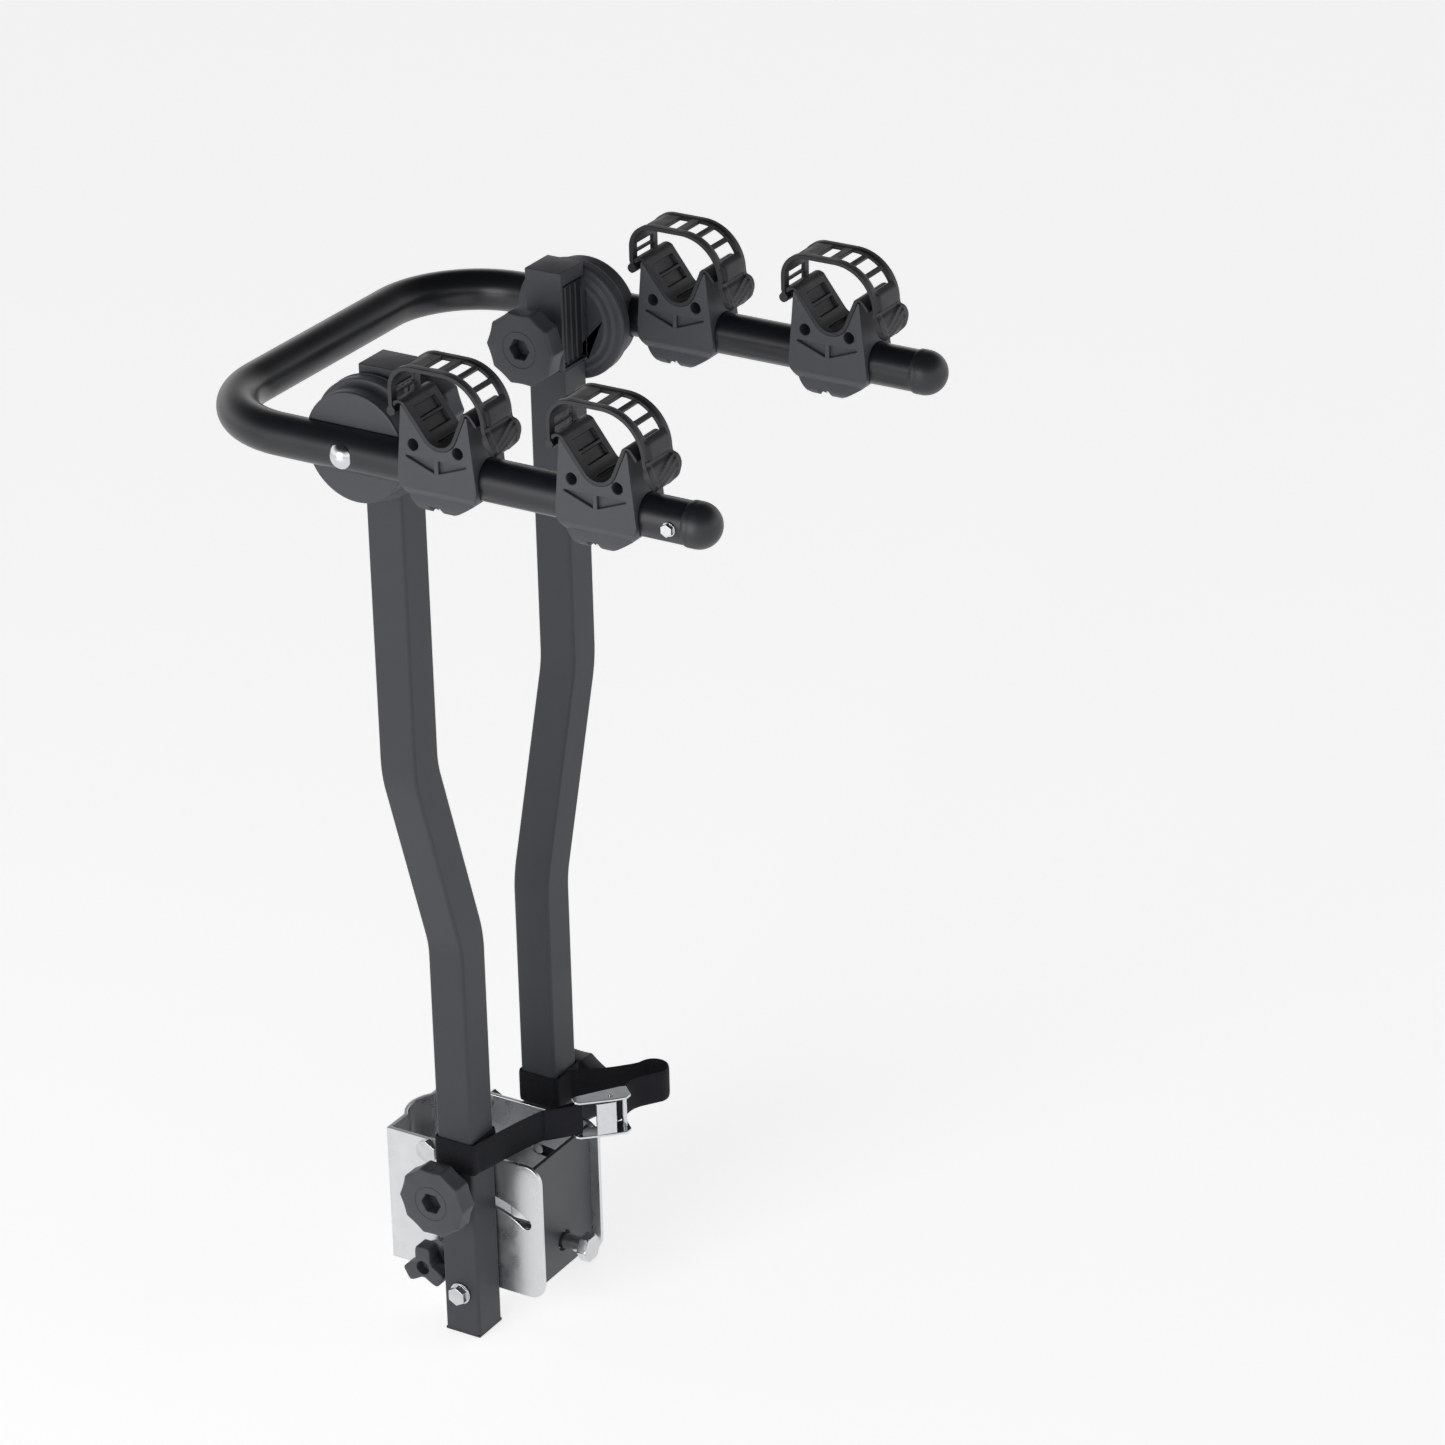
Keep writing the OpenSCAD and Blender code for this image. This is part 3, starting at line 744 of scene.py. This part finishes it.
@dataclass
class HandKnob:
    """Knob with ten slightly hollow sides on a round hub, and a hex recess in its face."""

    sides: int = 10
    radius: float = 28.25
    hollow: float = 0.5
    hub: float = 11.0
    hub_length: float = 16.0
    head: float = 16.8
    recess_flats: float = 14.6
    recess: float = 9.0
    bore: float = 4.05
    around: int = 240

    def profile(self) -> Array:
        """Rows of (distance out, radius, share of the lobed outline, share of the hexagon)."""
        base, r, bore, hub = self.hub_length, self.radius, self.bore, self.hub
        face, hexed = base + self.head, self.recess_flats / 2
        pit = face - self.recess
        rows = [
            (0.0, bore, 0, 0), (0.0, hub - 0.8, 0, 0), (0.8, hub, 0, 0), (base - 1.2, hub, 0, 0),
            (base - 0.3, hub + 0.4, 0, 0), (base, hub + 1.4, 0, 0), (base, r - 4.0, 0.7, 0),
            (base + 0.3, r - 1.6, 1, 0), (base + 1.6, r - 0.3, 1, 0), (base + 2.6, r, 1, 0),
            (face - 2.2, r, 1, 0), (face - 1.1, r - 0.35, 1, 0), (face - 0.3, r - 1.2, 1, 0),
            (face, r - 2.0, 1, 0), (face, 14.1, 0, 0), (face - 0.35, 13.8, 0, 0),
            (face - 0.35, 13.2, 0, 0), (face, 12.9, 0, 0), (face, hexed + 1.6, 0, 0.8),
            (face, hexed + 0.4, 0, 1), (face - 0.4, hexed, 0, 1), (pit, hexed - 0.1, 0, 1),
            (pit, 0.0, 0, 0), (base + 1.0, 0.0, 0, 0), (base + 1.0, bore, 0, 0),
        ]
        return np.array(rows, float)

    def build(
        self, node: str, place: Sequence[float], outward: int, finish: Material
    ) -> Object:
        """Turns the profile about the X axis, each row's radius bent to ten sides or a hexagon.

        A side's radius is the inner radius over the cosine of the angle from its middle, less a
        hollow that fades to nothing at the corners, and the corners are cut a little short.

        Args:
            node: CAD node that the knob stands for.
            place: Where its hub's end is centred, in mm from the arm axis.
            outward: 1 if its face looks along +X, or -1.
            finish: Its material.

        Returns:
            The piece.
        """
        rows = self.profile()
        turn = np.linspace(0, TURN, self.around, endpoint=False)
        half = TURN / (2 * self.sides)
        aside = np.mod(turn, TURN / self.sides) - half
        flats = self.radius * math.cos(half) / np.cos(aside)
        flats = flats - self.hollow * np.cos(self.sides / 2 * aside)
        lobes = np.minimum(flats, 0.996 * self.radius) - self.radius
        flat = np.mod(turn, TURN / 6) - TURN / 12
        hexagon = 1 / np.cos(flat)
        radius = rows[:, 1:2] + rows[:, 2:3] * lobes
        radius = radius * (1 + rows[:, 3:4] * (hexagon - 1))
        points = revolved(place, outward, rows[:, 0], radius, self.around)
        faces = grid_faces(len(rows), self.around, True, True)
        return piece(f"{node}_grip", points, faces, finish, crease=42)

    def socket(
        self, node: str, place: Sequence[float], outward: int, finish: Material
    ) -> Object:
        """Lays a thin six-sided black disc on the floor of the knob's recess, as painted shade.

        The dark disc stands in for the shade that falls deep in the recess. It takes what build
        takes.
        """
        floor = self.hub_length + self.head - self.recess
        corner = self.recess_flats / 2 / math.cos(TURN / 12) - 0.25
        out = floor + np.array([0.1, 0.1, 0.9, 0.5])
        radius = np.array([0.0, corner, corner - 0.3, 0.0])
        points = revolved(place, outward, out, radius, 6)
        # The black disc is painted shade: it darkens the recess floor where shade falls deep in the
        # knob.
        return piece(f"{node}_socket", points, grid_faces(4, 6, False, True), finish, crease=42)


@dataclass
class LobedKnob:
    """Three-armed knob in front of a round black flange."""

    place: tuple[float, float, float] = (-41.2, 35.0, -693.0)
    tip: float = 17.5
    arm_half: float = 6.6
    waist: float = 8.6
    softness: int = 7
    around: int = 240

    def turned(self, name: str, rows: Array, finish: Material) -> Object:
        """Turns rows of (distance out, radius, share of the arms) about the X axis.

        At an angle f from an arm's middle, the outline's radius is the soft minimum of
        tip / cos f and half width / sin f, and never under the waist.

        Args:
            name: The piece's name.
            rows: The profile.
            finish: Its material.

        Returns:
            The piece.
        """
        turn = np.linspace(0, TURN, self.around, endpoint=False)
        f = np.mod(turn - TURN / 4 + TURN / 6, TURN / 3) - TURN / 6
        p = self.softness
        soft = (np.cos(f) / self.tip) ** p + (np.abs(np.sin(f)) / self.arm_half) ** p
        soft = soft ** (-1 / p)
        arms = np.maximum(soft, self.waist) - self.tip
        radius = rows[:, 1:2] + rows[:, 2:3] * arms
        points = revolved(self.place, -1, rows[:, 0], radius, self.around)
        faces = grid_faces(len(rows), self.around, False, True)
        return piece(name, points, faces, finish, crease=42)

    def build(self, paint: Paint) -> None:
        """Builds the flange and the head."""
        flange = np.array(
            [(5.3, 0.0, 0), (5.3, 11.6, 0), (5.8, 12.0, 0), (15.0, 12.0, 0), (15.6, 11.4, 0),
             (15.6, 0.0, 0)]
        )
        head = np.array(
            [(15.4, 0.0, 0), (15.5, 7.0, 0.2), (15.8, self.tip - 0.8, 1), (16.6, self.tip, 1),
             (27.4, self.tip, 1), (28.2, self.tip - 0.5, 1), (28.5, self.tip - 1.4, 1),
             (28.5, 6.2, 0), (28.2, 5.6, 0), (21.0, 5.5, 0), (21.0, 0.0, 0)]
        )
        for name, rows, finish in (
            ("lock_knob_flange", flange, paint.nylon_black),
            ("lock_knob_head", head, paint.nylon),
        ):
            dress(self.turned(name, rows, finish), "lock_knob", "black_plastic", "lock_knob")


@dataclass
class Stud:
    """Threaded rod that a knob turns on, with a cut thread at its free end."""

    radius: float = 4.0
    pitch: float = 1.25
    depth: float = 0.35
    around: int = 32

    def build(
        self, name: str, start: Sequence[float], end_x: float, finish: Material
    ) -> Object:
        """Carries a circle along X whose radius dips once per pitch, as rings of thread.

        Args:
            name: The piece's name.
            start: Centre of one end.
            end_x: X of the other end.
            finish: Its material.

        Returns:
            The piece.
        """
        length = abs(end_x - start[0])
        count = int(length / self.pitch * 4)
        s = np.linspace(0, 1, count)
        radius = self.radius - self.depth * (0.5 + 0.5 * np.sin(s * length / self.pitch * TURN))
        radius = np.concatenate([[0.0], radius, [0.0]])
        s = np.concatenate([[0.0], s, [1.0]])
        points = revolved(start, 1, (end_x - start[0]) * s, radius, self.around)
        faces = grid_faces(len(s), self.around, False, True)
        return piece(name, points, faces, finish, crease=60)


@dataclass
class Knobs:
    """Every hand knob on the rack."""

    low_z: float = -610.0
    low_x: float = 71.8
    top_x: float = 88.2
    stud_end: float = 41.8
    stud_in_knob: float = 22.0

    def large(
        self, knob: HandKnob, node: str, place: Sequence[float], outward: int, paint: Paint
    ) -> None:
        """Builds one large knob and the dark disc of painted shade in its recess."""
        dress(knob.build(node, place, outward, paint.nylon), node, "grey_plastic", node)
        # The disc in the recess is painted shade, not a part of the knob.
        dress(knob.socket(node, place, outward, paint.nylon_black), node, "black_plastic")

    def build(self, paint: Paint) -> None:
        """Builds four large knobs, two studs and the three-lobed knob."""
        for side in Side:
            s = side.value
            low = f"lower_knob_{side.word}"
            self.large(HandKnob(bore=3.9), low, (s * self.low_x, 0.0, self.low_z), s, paint)
            start = (s * (self.low_x + self.stud_in_knob), 0.0, self.low_z)
            stud = Stud().build(f"{low}_stud", start, s * self.stud_end, paint.bolt)
            dress(stud, low, "bolt_steel", low)
            top = f"top_knob_{side.word}"
            self.large(HandKnob(), top, (s * self.top_x, 0.0, 0.0), -s, paint)
        LobedKnob().build(paint)


# --- cradles


@dataclass
class LadderStrap:
    """Rubber strap over a cradle: a bulb it swings on, a run of windows, and a pull tab."""

    number: int
    width: float = 34.0
    thick: float = 3.0
    hinge: tuple[float, float] = (35.5, 42.5)
    bulb: float = 3.6
    crown: float = 75.0
    far_y: float = -37.0
    turn_near: float = 16.5
    turn_far: float = 31.5
    windows: tuple[tuple[float, float, float], ...] = (
        (35.5, 50.5, 5.0), (35.5, 57.5, 5.0), (27.7, 72.5, 7.0), (6.0, 75.0, 9.5),
        (-9.6, 74.7, 9.5), (-22.0, 70.4, 9.5), (-31.5, 61.3, 9.5),
    )
    window_half: float = 10.5
    tab: tuple[tuple[float, float], ...] = (
        (-37.0, 44.0), (-37.6, 40.0), (-41.6, 33.5), (-42.0, 27.0), (-40.0, 21.5),
    )

    def path(self) -> Array:
        """Middle line (y, z) from under the bulb, up, over the valley and down to the tab."""
        (y0, z0), r0, r1 = self.hinge, self.turn_near, self.turn_far
        near = arc((y0 - r0, self.crown - r0), r0, 0, 90, 33)
        far = arc((self.far_y + r1, self.crown - r1), r1, 90, 180, 33)
        foot = [y0, z0 - self.bulb]
        return np.vstack([foot, near, far, chaikin(np.array(self.tab), 3)])

    def build(self, centre: tuple[float, float], paint: Paint) -> None:
        """Spreads a grid along the path and across the strap, and lifts both skins off it.

        The outer skin rises in two side rails, a rolled block and the ridges of the tab; the
        half width swells and closes as half an ellipse at the tab.

        Args:
            centre: X and Y of its cradle in mm.
            paint: The finishes.
        """
        path = self.path()
        length = arc_length(path)[-1]
        fine = np.linspace(0, length, 900)
        dense, _ = along(path, fine)

        def reach(y: float, z: float) -> float:
            """Distance along the strap nearest to a point."""
            return float(fine[np.argmin(np.hypot(dense[:, 0] - y, dense[:, 1] - z))])

        spans = [(reach(y, z) - run / 2, reach(y, z) + run / 2) for y, z, run in self.windows]
        s = lines(length, 1.1, [e for span in spans for e in span])
        middle = self.width / 2
        v = lines(self.width, 1.1, [middle - self.window_half, middle + self.window_half]) - middle
        place, normal = along(path, s)
        at_block, at_tab = reach(self.far_y, 49.0), reach(-37.6, 40.0)
        share = np.clip((s - at_tab) / (length - at_tab), 0, 1)
        half = 1.0 + 0.13 * np.sin(np.pi * np.clip(share * 1.6, 0, 1))
        half *= np.sqrt(np.clip(1 - (np.clip(share - 0.45, 0, 1) / 0.62) ** 2.4, 0.0, 1))
        across = v[None, :] * half[:, None]
        even = np.ones((len(s), len(v)))
        bulb = np.sqrt(np.clip(self.bulb**2 - (s - self.bulb) ** 2, 0.15, None))[:, None]
        band = np.where(s[:, None] < self.bulb, bulb, np.maximum(bulb, self.thick / 2)) * even
        rails = 0.45 * box_wave(np.abs(v), 12.0, 40.0, 1.2)[None, :] * (s[:, None] > 9) - 0.2
        block = 2.6 * box_wave(s, at_block - 6.5, at_block + 6.0, 5.0)[:, None]
        block = block * box_wave(v, -13.0, 13.0, 3.0)
        tab = 1.3 * box_wave(s, at_tab + 1.0, length + 5, 4.0)[:, None] * even
        slant = s[:, None] + 0.35 * across
        ridge = 0.7 * sum(
            box_wave(slant, at_tab + d, at_tab + d + 1.6, 1.0) for d in (5.0, 9.0, 13.0)
        ) * box_wave(v, -13.5, 13.5, 2.0)
        edge = 1 - 0.55 * box_wave(share, 0.86, 2.0, 0.3)[:, None]
        outer = band + np.clip(rails + block, -0.2, 3) + tab + ridge
        outer = outer * np.where(share[:, None] > 0, edge, 1)
        inner = band + 0.8 * box_wave(s, at_tab + 3.0, length + 5, 6.0)[:, None] * edge
        top, under = (lifted(centre, place, normal, across, h) for h in (-outer, inner))
        mid_s, mid_v = (s[:-1] + s[1:]) / 2, (v[:-1] + v[1:]) / 2
        keep = np.ones((len(mid_s), len(mid_v)), bool)
        for low, high in spans:
            keep &= ~(
                ((mid_s > low) & (mid_s < high))[:, None] & (np.abs(mid_v) < self.window_half)
            )
        node = f"strap_{self.number}"
        shown = piece(f"{node}_ladder", *slab(top, under, keep), paint.rubber, crease=45)
        soften_edges(shown, 0.45, 50)
        dress(shown, node, "rubber", node)


@dataclass
class RubberLiner:
    """Lining of a cradle's valley: a rim round rows of pockets, and an ear over each horn."""

    number: int
    half_width: float = 19.0
    thick: float = 2.9
    pocket_half: float = 12.5
    pocket_depth: float = 2.0
    pocket_at: tuple[float, ...] = (-31.0, -20.0, -2.0, 16.0, 27.0)
    pocket_run: float = 8.4
    ramp: float = 0.5
    valley: tuple[float, float] = (-3.0, 36.5)
    radius: float = 13.45
    near_lean: float = 37.0
    far_lean: float = 23.0
    ear: tuple[tuple[float, float], ...] = ((31.0, 47.8), (31.2, 50.2), (28.2, 51.6), (24.9, 51.3))
    flap: tuple[tuple[float, float], ...] = (
        (-23.6, 51.2), (-26.8, 51.9), (-29.4, 49.2), (-31.4, 46.6), (-33.4, 43.6),
    )

    def path(self) -> Array:
        """Middle line (y, z) from the near ear down one side, round the floor and up the other."""
        lean, far_lean = math.radians(self.near_lean), math.radians(self.far_lean)
        floor = arc(self.valley, self.radius, -self.near_lean, self.far_lean - 180, 40)
        near = floor[0] + 26.0 * np.array([math.sin(lean), math.cos(lean)])
        far = floor[-1] + 19.5 * np.array([-math.sin(far_lean), math.cos(far_lean)])
        ear = chaikin(np.vstack([self.ear, near, near * 0.7 + floor[0] * 0.3]), 3)
        flap = chaikin(np.vstack([far * 0.7 + floor[-1] * 0.3, far, self.flap]), 3)
        return np.vstack([ear, floor, flap])

    def build(self, centre: tuple[float, float], paint: Paint) -> None:
        """Lifts both skins off the path, the inner one sinking at the pockets.

        Args:
            centre: X and Y of its cradle in mm.
            paint: The finishes.
        """
        path = self.path()
        length = arc_length(path)[-1]
        half_run, ramp = self.pocket_run / 2, self.ramp
        centres = [0.5 * length + d for d in self.pocket_at]
        pockets = [(c - half_run, c + half_run) for c in centres]
        sides = [self.half_width + a * self.pocket_half for a in (-1, 1)]
        marks, edges = (
            [e + k * ramp / 2 for e in ends for k in (-1, 1)]
            for ends in ([e for p in pockets for e in p], sides)
        )
        s = lines(length, 1.2, marks)
        v = lines(2 * self.half_width, 1.5, edges) - self.half_width
        place, normal = along(path, s)
        wave_v = box_wave(v, -self.pocket_half, self.pocket_half, ramp)
        wave_s = sum(box_wave(s, a, b, ramp) for a, b in pockets)
        end = np.minimum(s, length - s)
        taper = np.sqrt(np.clip(end / 1.5, 0.12, 1))[:, None]
        thin = np.where((s < 9) | (s > length - 14), 0.75, 1.0)[:, None]
        half = self.thick / 2 * taper * thin * np.ones((len(s), len(v)))
        inner = half - self.pocket_depth * wave_s[:, None] * wave_v[None, :]
        across = np.broadcast_to(v[None, :], half.shape)
        top, under = (lifted(centre, place, normal, across, h) for h in (-inner, half))
        node = f"liner_{self.number}"
        shown = piece(f"{node}_lining", *slab(top, under), paint.rubber, crease=45)
        soften_edges(shown, 0.4, 50)
        dress(shown, "arms", "rubber", node)


@dataclass
class CradleSet:
    """The four cradles with their linings and straps."""

    arm_x: float = 151.5
    first: float = 80.5
    pitch: float = 124.0

    def centre(self, number: int) -> tuple[float, float]:
        """X and Y of cradle 1 or 2 on the left arm, 3 or 4 on the right, inner one first."""
        x = -self.arm_x if number < 3 else self.arm_x
        return x, -self.first - ((number + 1) % 2) * self.pitch

    def build(self, paint: Paint) -> None:
        """Builds every cradle's pieces."""
        for number in range(1, 5):
            softened(f"cradle_{number}", paint.nylon, 0.55)
            RubberLiner(number).build(self.centre(number), paint)
            LadderStrap(number).build(self.centre(number), paint)


# --- tie strap


@dataclass
class TieWebbing:
    """A woven strap stood on edge: a loop round one post, and a run towards the buckle."""

    name: str
    node: str
    post_x: float
    tail: Array
    width: float = 25.0
    thick: float = 1.5
    middle: float = -586.0
    clear: float = 16.2

    def path(self) -> Array:
        """Plan (x, y): once round the post, over its own start, then out along its tail."""
        c = self.clear
        front = c + self.thick
        loop = [(-9, -c + 0.1), (c, -c + 0.1), (c, c), (-c, c), (-c, -front), (-9.0, -front)]
        around = cornered(np.array(loop, float), 3.2) + [self.post_x, 0.0]
        return np.vstack([around, self.tail])

    def build(self, paint: Paint) -> None:
        """Stands a grid on the path and gives it a thickness that thins to the woven edges."""
        path = self.path()
        length = arc_length(path)[-1]
        s = np.linspace(0, length, int(length / 0.8))
        v = np.linspace(-1, 1, 15)
        place, normal = along(path, s)
        height = self.middle + self.width / 2 * v[None, :] + 0 * s[:, None]
        edge = 0.5 * self.thick * np.sqrt(np.clip(1.06 - v**8, 0.1, 1))[None, :] + 0 * s[:, None]

        def skin(lift: Array) -> Array:
            """Grid of points lifted off the path by the given heights."""
            flat = place[:, None] + normal[:, None] * lift[..., None]
            return np.stack([flat[..., 0], flat[..., 1], height], -1)

        points, faces = slab(skin(edge), skin(-edge))
        cloth = np.broadcast_arrays(s[:, None] * MM, v[None, :] * self.width / 2 * MM)
        uv = np.tile(np.stack(cloth, -1).reshape(-1, 2), (2, 1))
        shown = piece(self.name, points, faces, paint.webbing, crease=60, uv=uv)
        dress(shown, "posts", "webbing", self.node)
        LOG.info("%s was cut to %.0f x %.0f mm", self.name, self.width, length)


@dataclass
class TieStrap:
    """The two lengths of webbing that meet in the buckle."""

    post_x: float = 56.5
    bar: tuple[float, float] = (18.45, -49.8)
    bar_gap: float = 2.9
    bend: tuple[float, float] = (93.5, -69.0)
    bend_r: float = 11.5

    def build(self, paint: Paint) -> None:
        """Builds the sewn length round the buckle's bar, and the free one with its slack bend."""
        bar = np.array(self.bar)
        sewn = np.vstack([
            [(-60.0, -19.4), (-44.0, -22.4), (-26.0, -26.4), (-5.0, -32.2)],
            arc(bar, self.bar_gap, 53, -127, 11),
            [(-3.6, -34.4)],
        ])
        TieWebbing(
            "webbing_short_run", "webbing_short", -self.post_x,
            np.vstack([cornered(sewn[:5], 8.0)[:-1], sewn[4:]]),
        ).build(paint)
        slack = np.vstack([
            [(58.0, -18.4), (66.0, -27.0), (75.0, -41.0), (92.0, -56.6)],
            arc(self.bend, self.bend_r, 75, -115, 21),
            [(69.5, -65.6), (50.0, -67.3), (39.5, -62.5)],
        ])
        TieWebbing(
            "webbing_long_run", "webbing_long", self.post_x,
            np.vstack([cornered(slack[:5], 8.0)[:-1], slack[4:24], cornered(slack[24:], 9.0)]),
        ).build(paint)


# --- stage


@dataclass
class Studio:
    """Pale floor, soft light that is bright low down and dim overhead, and the camera."""

    floor_half: float = 30.0
    location: tuple[float, float, float] = (-2.8606, -2.0030, 2.0483)
    azimuth: float = -58.551
    elevation: float = 25.351
    roll: float = -1.315
    lens: float = 133.15
    floor_glow: float = 0.68
    sky_heights: tuple[float, float] = (0.12, 0.66)
    sky_strengths: tuple[float, float] = (1.25, 0.03)
    lamp_size: float = 1.6
    lamp_target: tuple[float, float, float] = (0.0, 0.0, 0.4)

    def floor(self) -> None:
        """A flat pale sheet, slightly luminous so that it stays even."""
        mesh = bpy.data.meshes.new("floor")
        h = self.floor_half
        corners = [(x, y, FLOOR_Z) for x, y in ((-h, -h), (h, -h), (h, h), (-h, h))]
        mesh.from_pydata(corners, [], [(0, 1, 2, 3)])
        made = bpy.data.materials.new("pale floor")
        tree = fresh_tree(made)
        look = {
            "Base Color": linear("#e9e9e9"),
            "Roughness": 0.9,
            "Specular IOR Level": 0.1,
            "Emission Color": (1, 1, 1, 1),
            "Emission Strength": self.floor_glow,
        }
        shader = add(tree, "ShaderNodeBsdfPrincipled", look)
        add(tree, "ShaderNodeOutputMaterial", {"Surface": shader})
        mesh.materials.append(made)
        shown = linked("floor", mesh)

    def world(self) -> None:
        """Sky light that fades from the horizon to overhead."""
        made = bpy.data.worlds.new("studio")
        tree = fresh_tree(made)
        way = add(tree, "ShaderNodeTexCoord").outputs["Generated"]
        height = add(tree, "ShaderNodeSeparateXYZ", {"Vector": way}).outputs["Z"]
        limits = (*self.sky_heights, *self.sky_strengths)
        fade = dict(zip(("From Min", "From Max", "To Min", "To Max"), limits, strict=True))
        strength = add(
            tree,
            "ShaderNodeMapRange",
            {"Value": height, **fade},
            interpolation_type="SMOOTHSTEP",
        )
        back = add(tree, "ShaderNodeBackground", {"Color": (1, 1, 1, 1), "Strength": strength})
        add(tree, "ShaderNodeOutputWorld", {"Surface": back})
        bpy.context.scene.world = made
        bpy.context.scene.view_settings.view_transform = "Standard"

    def lamp(self, name: str, place: tuple[float, float, float], watts: float) -> None:
        """Hangs a square soft lamp that looks at the rack."""
        data = bpy.data.lights.new(name, "AREA")
        data.size, data.energy = self.lamp_size, watts
        way = np.array(self.lamp_target) - np.array(place)
        back = -way / np.linalg.norm(way)
        side = np.cross([0.0, 0.0, 1.0], back)
        side /= np.linalg.norm(side)
        aimed(name, data, place, side, np.cross(back, side), back)

    def camera(self) -> None:
        """Sets the camera from its bearing, height and roll."""
        az, el, ro = (math.radians(a) for a in (self.azimuth, self.elevation, self.roll))
        back = np.array([math.sin(az) * math.cos(el), -math.cos(az) * math.cos(el), math.sin(el)])
        level = np.array([math.cos(az), math.sin(az), 0.0])
        up = np.cross(back, level)
        side = level * math.cos(ro) + up * math.sin(ro)
        top = -level * math.sin(ro) + up * math.cos(ro)
        data = bpy.data.cameras.new("camera")
        data.lens, data.sensor_width = self.lens, 36.0
        data.clip_start, data.clip_end = 0.05, 200.0
        bpy.context.scene.camera = aimed("camera", data, self.location, side, top, back)

    def build(self) -> None:
        """Sets the stage."""
        self.camera()
        self.floor()
        self.world()
        self.lamp("left soft box", (-2.6, 0.2, 0.9), 26)
        self.lamp("right soft box", (1.2, -2.8, 1.2), 3)


# --- the rack


@dataclass
class PlainParts:
    """CAD nodes whose shape stands, copied with softened edges and a proper finish."""

    # Extent of the black piece of painted shade on the floor of each housing's front hollow.
    insert_x: tuple[float, float] = (91.9, 118.3)
    insert_z: tuple[float, float] = (-23.6, 35.6)
    insert_y: float = -11.6
    rib_x: tuple[float, ...] = (98.5, 105.1, 111.7)
    rib_half: float = 0.8

    def build(self, paint: Paint) -> None:
        """Builds a softened copy of each node."""
        listed = [
            ("bracket_shell", paint.zinc, 0.5), ("front_plate", paint.plate, 0.4),
            ("clamp_nut", paint.bolt, 0.4), ("clamp_bolt", paint.bolt, 0.4),
            ("clamp_jaw", paint.zinc, 0.6), ("cross_bolt", paint.bolt, 0.35),
            ("pivot_bolts", paint.bolt, 0.3), ("lock_nut", paint.bolt, 0.3),
            ("foot_plugs", paint.nylon_black, 0.4), ("slot_bolts", paint.bolt, 0.3),
            ("housing_left", paint.nylon, 0.9), ("housing_right", paint.nylon, 0.9),
            ("buckle_frame", paint.chrome, 0.4), ("buckle_pin", paint.chrome, 0.3),
            ("buckle_lever", paint.chrome, 0.4), ("end_screws", paint.bolt, 0.25),
            ("saddle_left", paint.nylon, 0.8), ("saddle_right", paint.nylon, 0.8),
            ("fold_bolts", paint.chrome, 0.3), ("cradle_bolts", paint.bolt, 0.3),
        ]
        for node, finish, edge in listed:
            softened(node, finish, edge)
        # Each housing's front hollow gets a black piece of painted shade.
        for side in Side:
            self.insert(side, paint)

    def insert(self, side: Side, paint: Paint) -> None:
        """Fills the floor of a housing's front hollow with a black piece that paints the shade
        falling deep into the hollow.

        Its depth over (x, z) is flat, with three upright ribs and a rim.

        Args:
            side: The housing's side.
            paint: The finishes.
        """
        x, z = np.linspace(*self.insert_x, 60), np.linspace(*self.insert_z, 90)
        ribs = sum(box_wave(x, a - self.rib_half, a + self.rib_half, 0.5) for a in self.rib_x)
        inside = box_wave(x, 93.2, 130, 0.6)[:, None] * box_wave(z, -22.2, 34.2, 0.6)
        rise = 0.5 + 0.9 * np.maximum(ribs[:, None], 1 - inside)
        depth = np.full(rise.shape, self.insert_y)
        wide, high = side.value * x[:, None] + 0 * rise, z[None, :] + 0 * rise
        front, back = (np.stack([wide, y, high], -1) for y in (depth - rise, depth))
        # The black colour here is painted shade: the hollow is dark only because shade falls into
        # it.
        shown = piece(f"housing_{side.word}_insert", *slab(front, back), paint.nylon_black)
        dress(shown, "posts", "black_plastic")


def main() -> None:
    """Builds the rack's looks in order, from the stage to the smallest strap."""
    logging.basicConfig(level=logging.INFO, format="%(message)s")
    Studio().build()
    paint = Paint()
    for side in Side:
        CrankedPost(side).build(paint)
    ArmFrame().build(paint)
    Knobs().build(paint)
    PlainParts().build(paint)
    CradleSet().build(paint)
    TieStrap().build(paint)


if __name__ == "__main__":
    main()
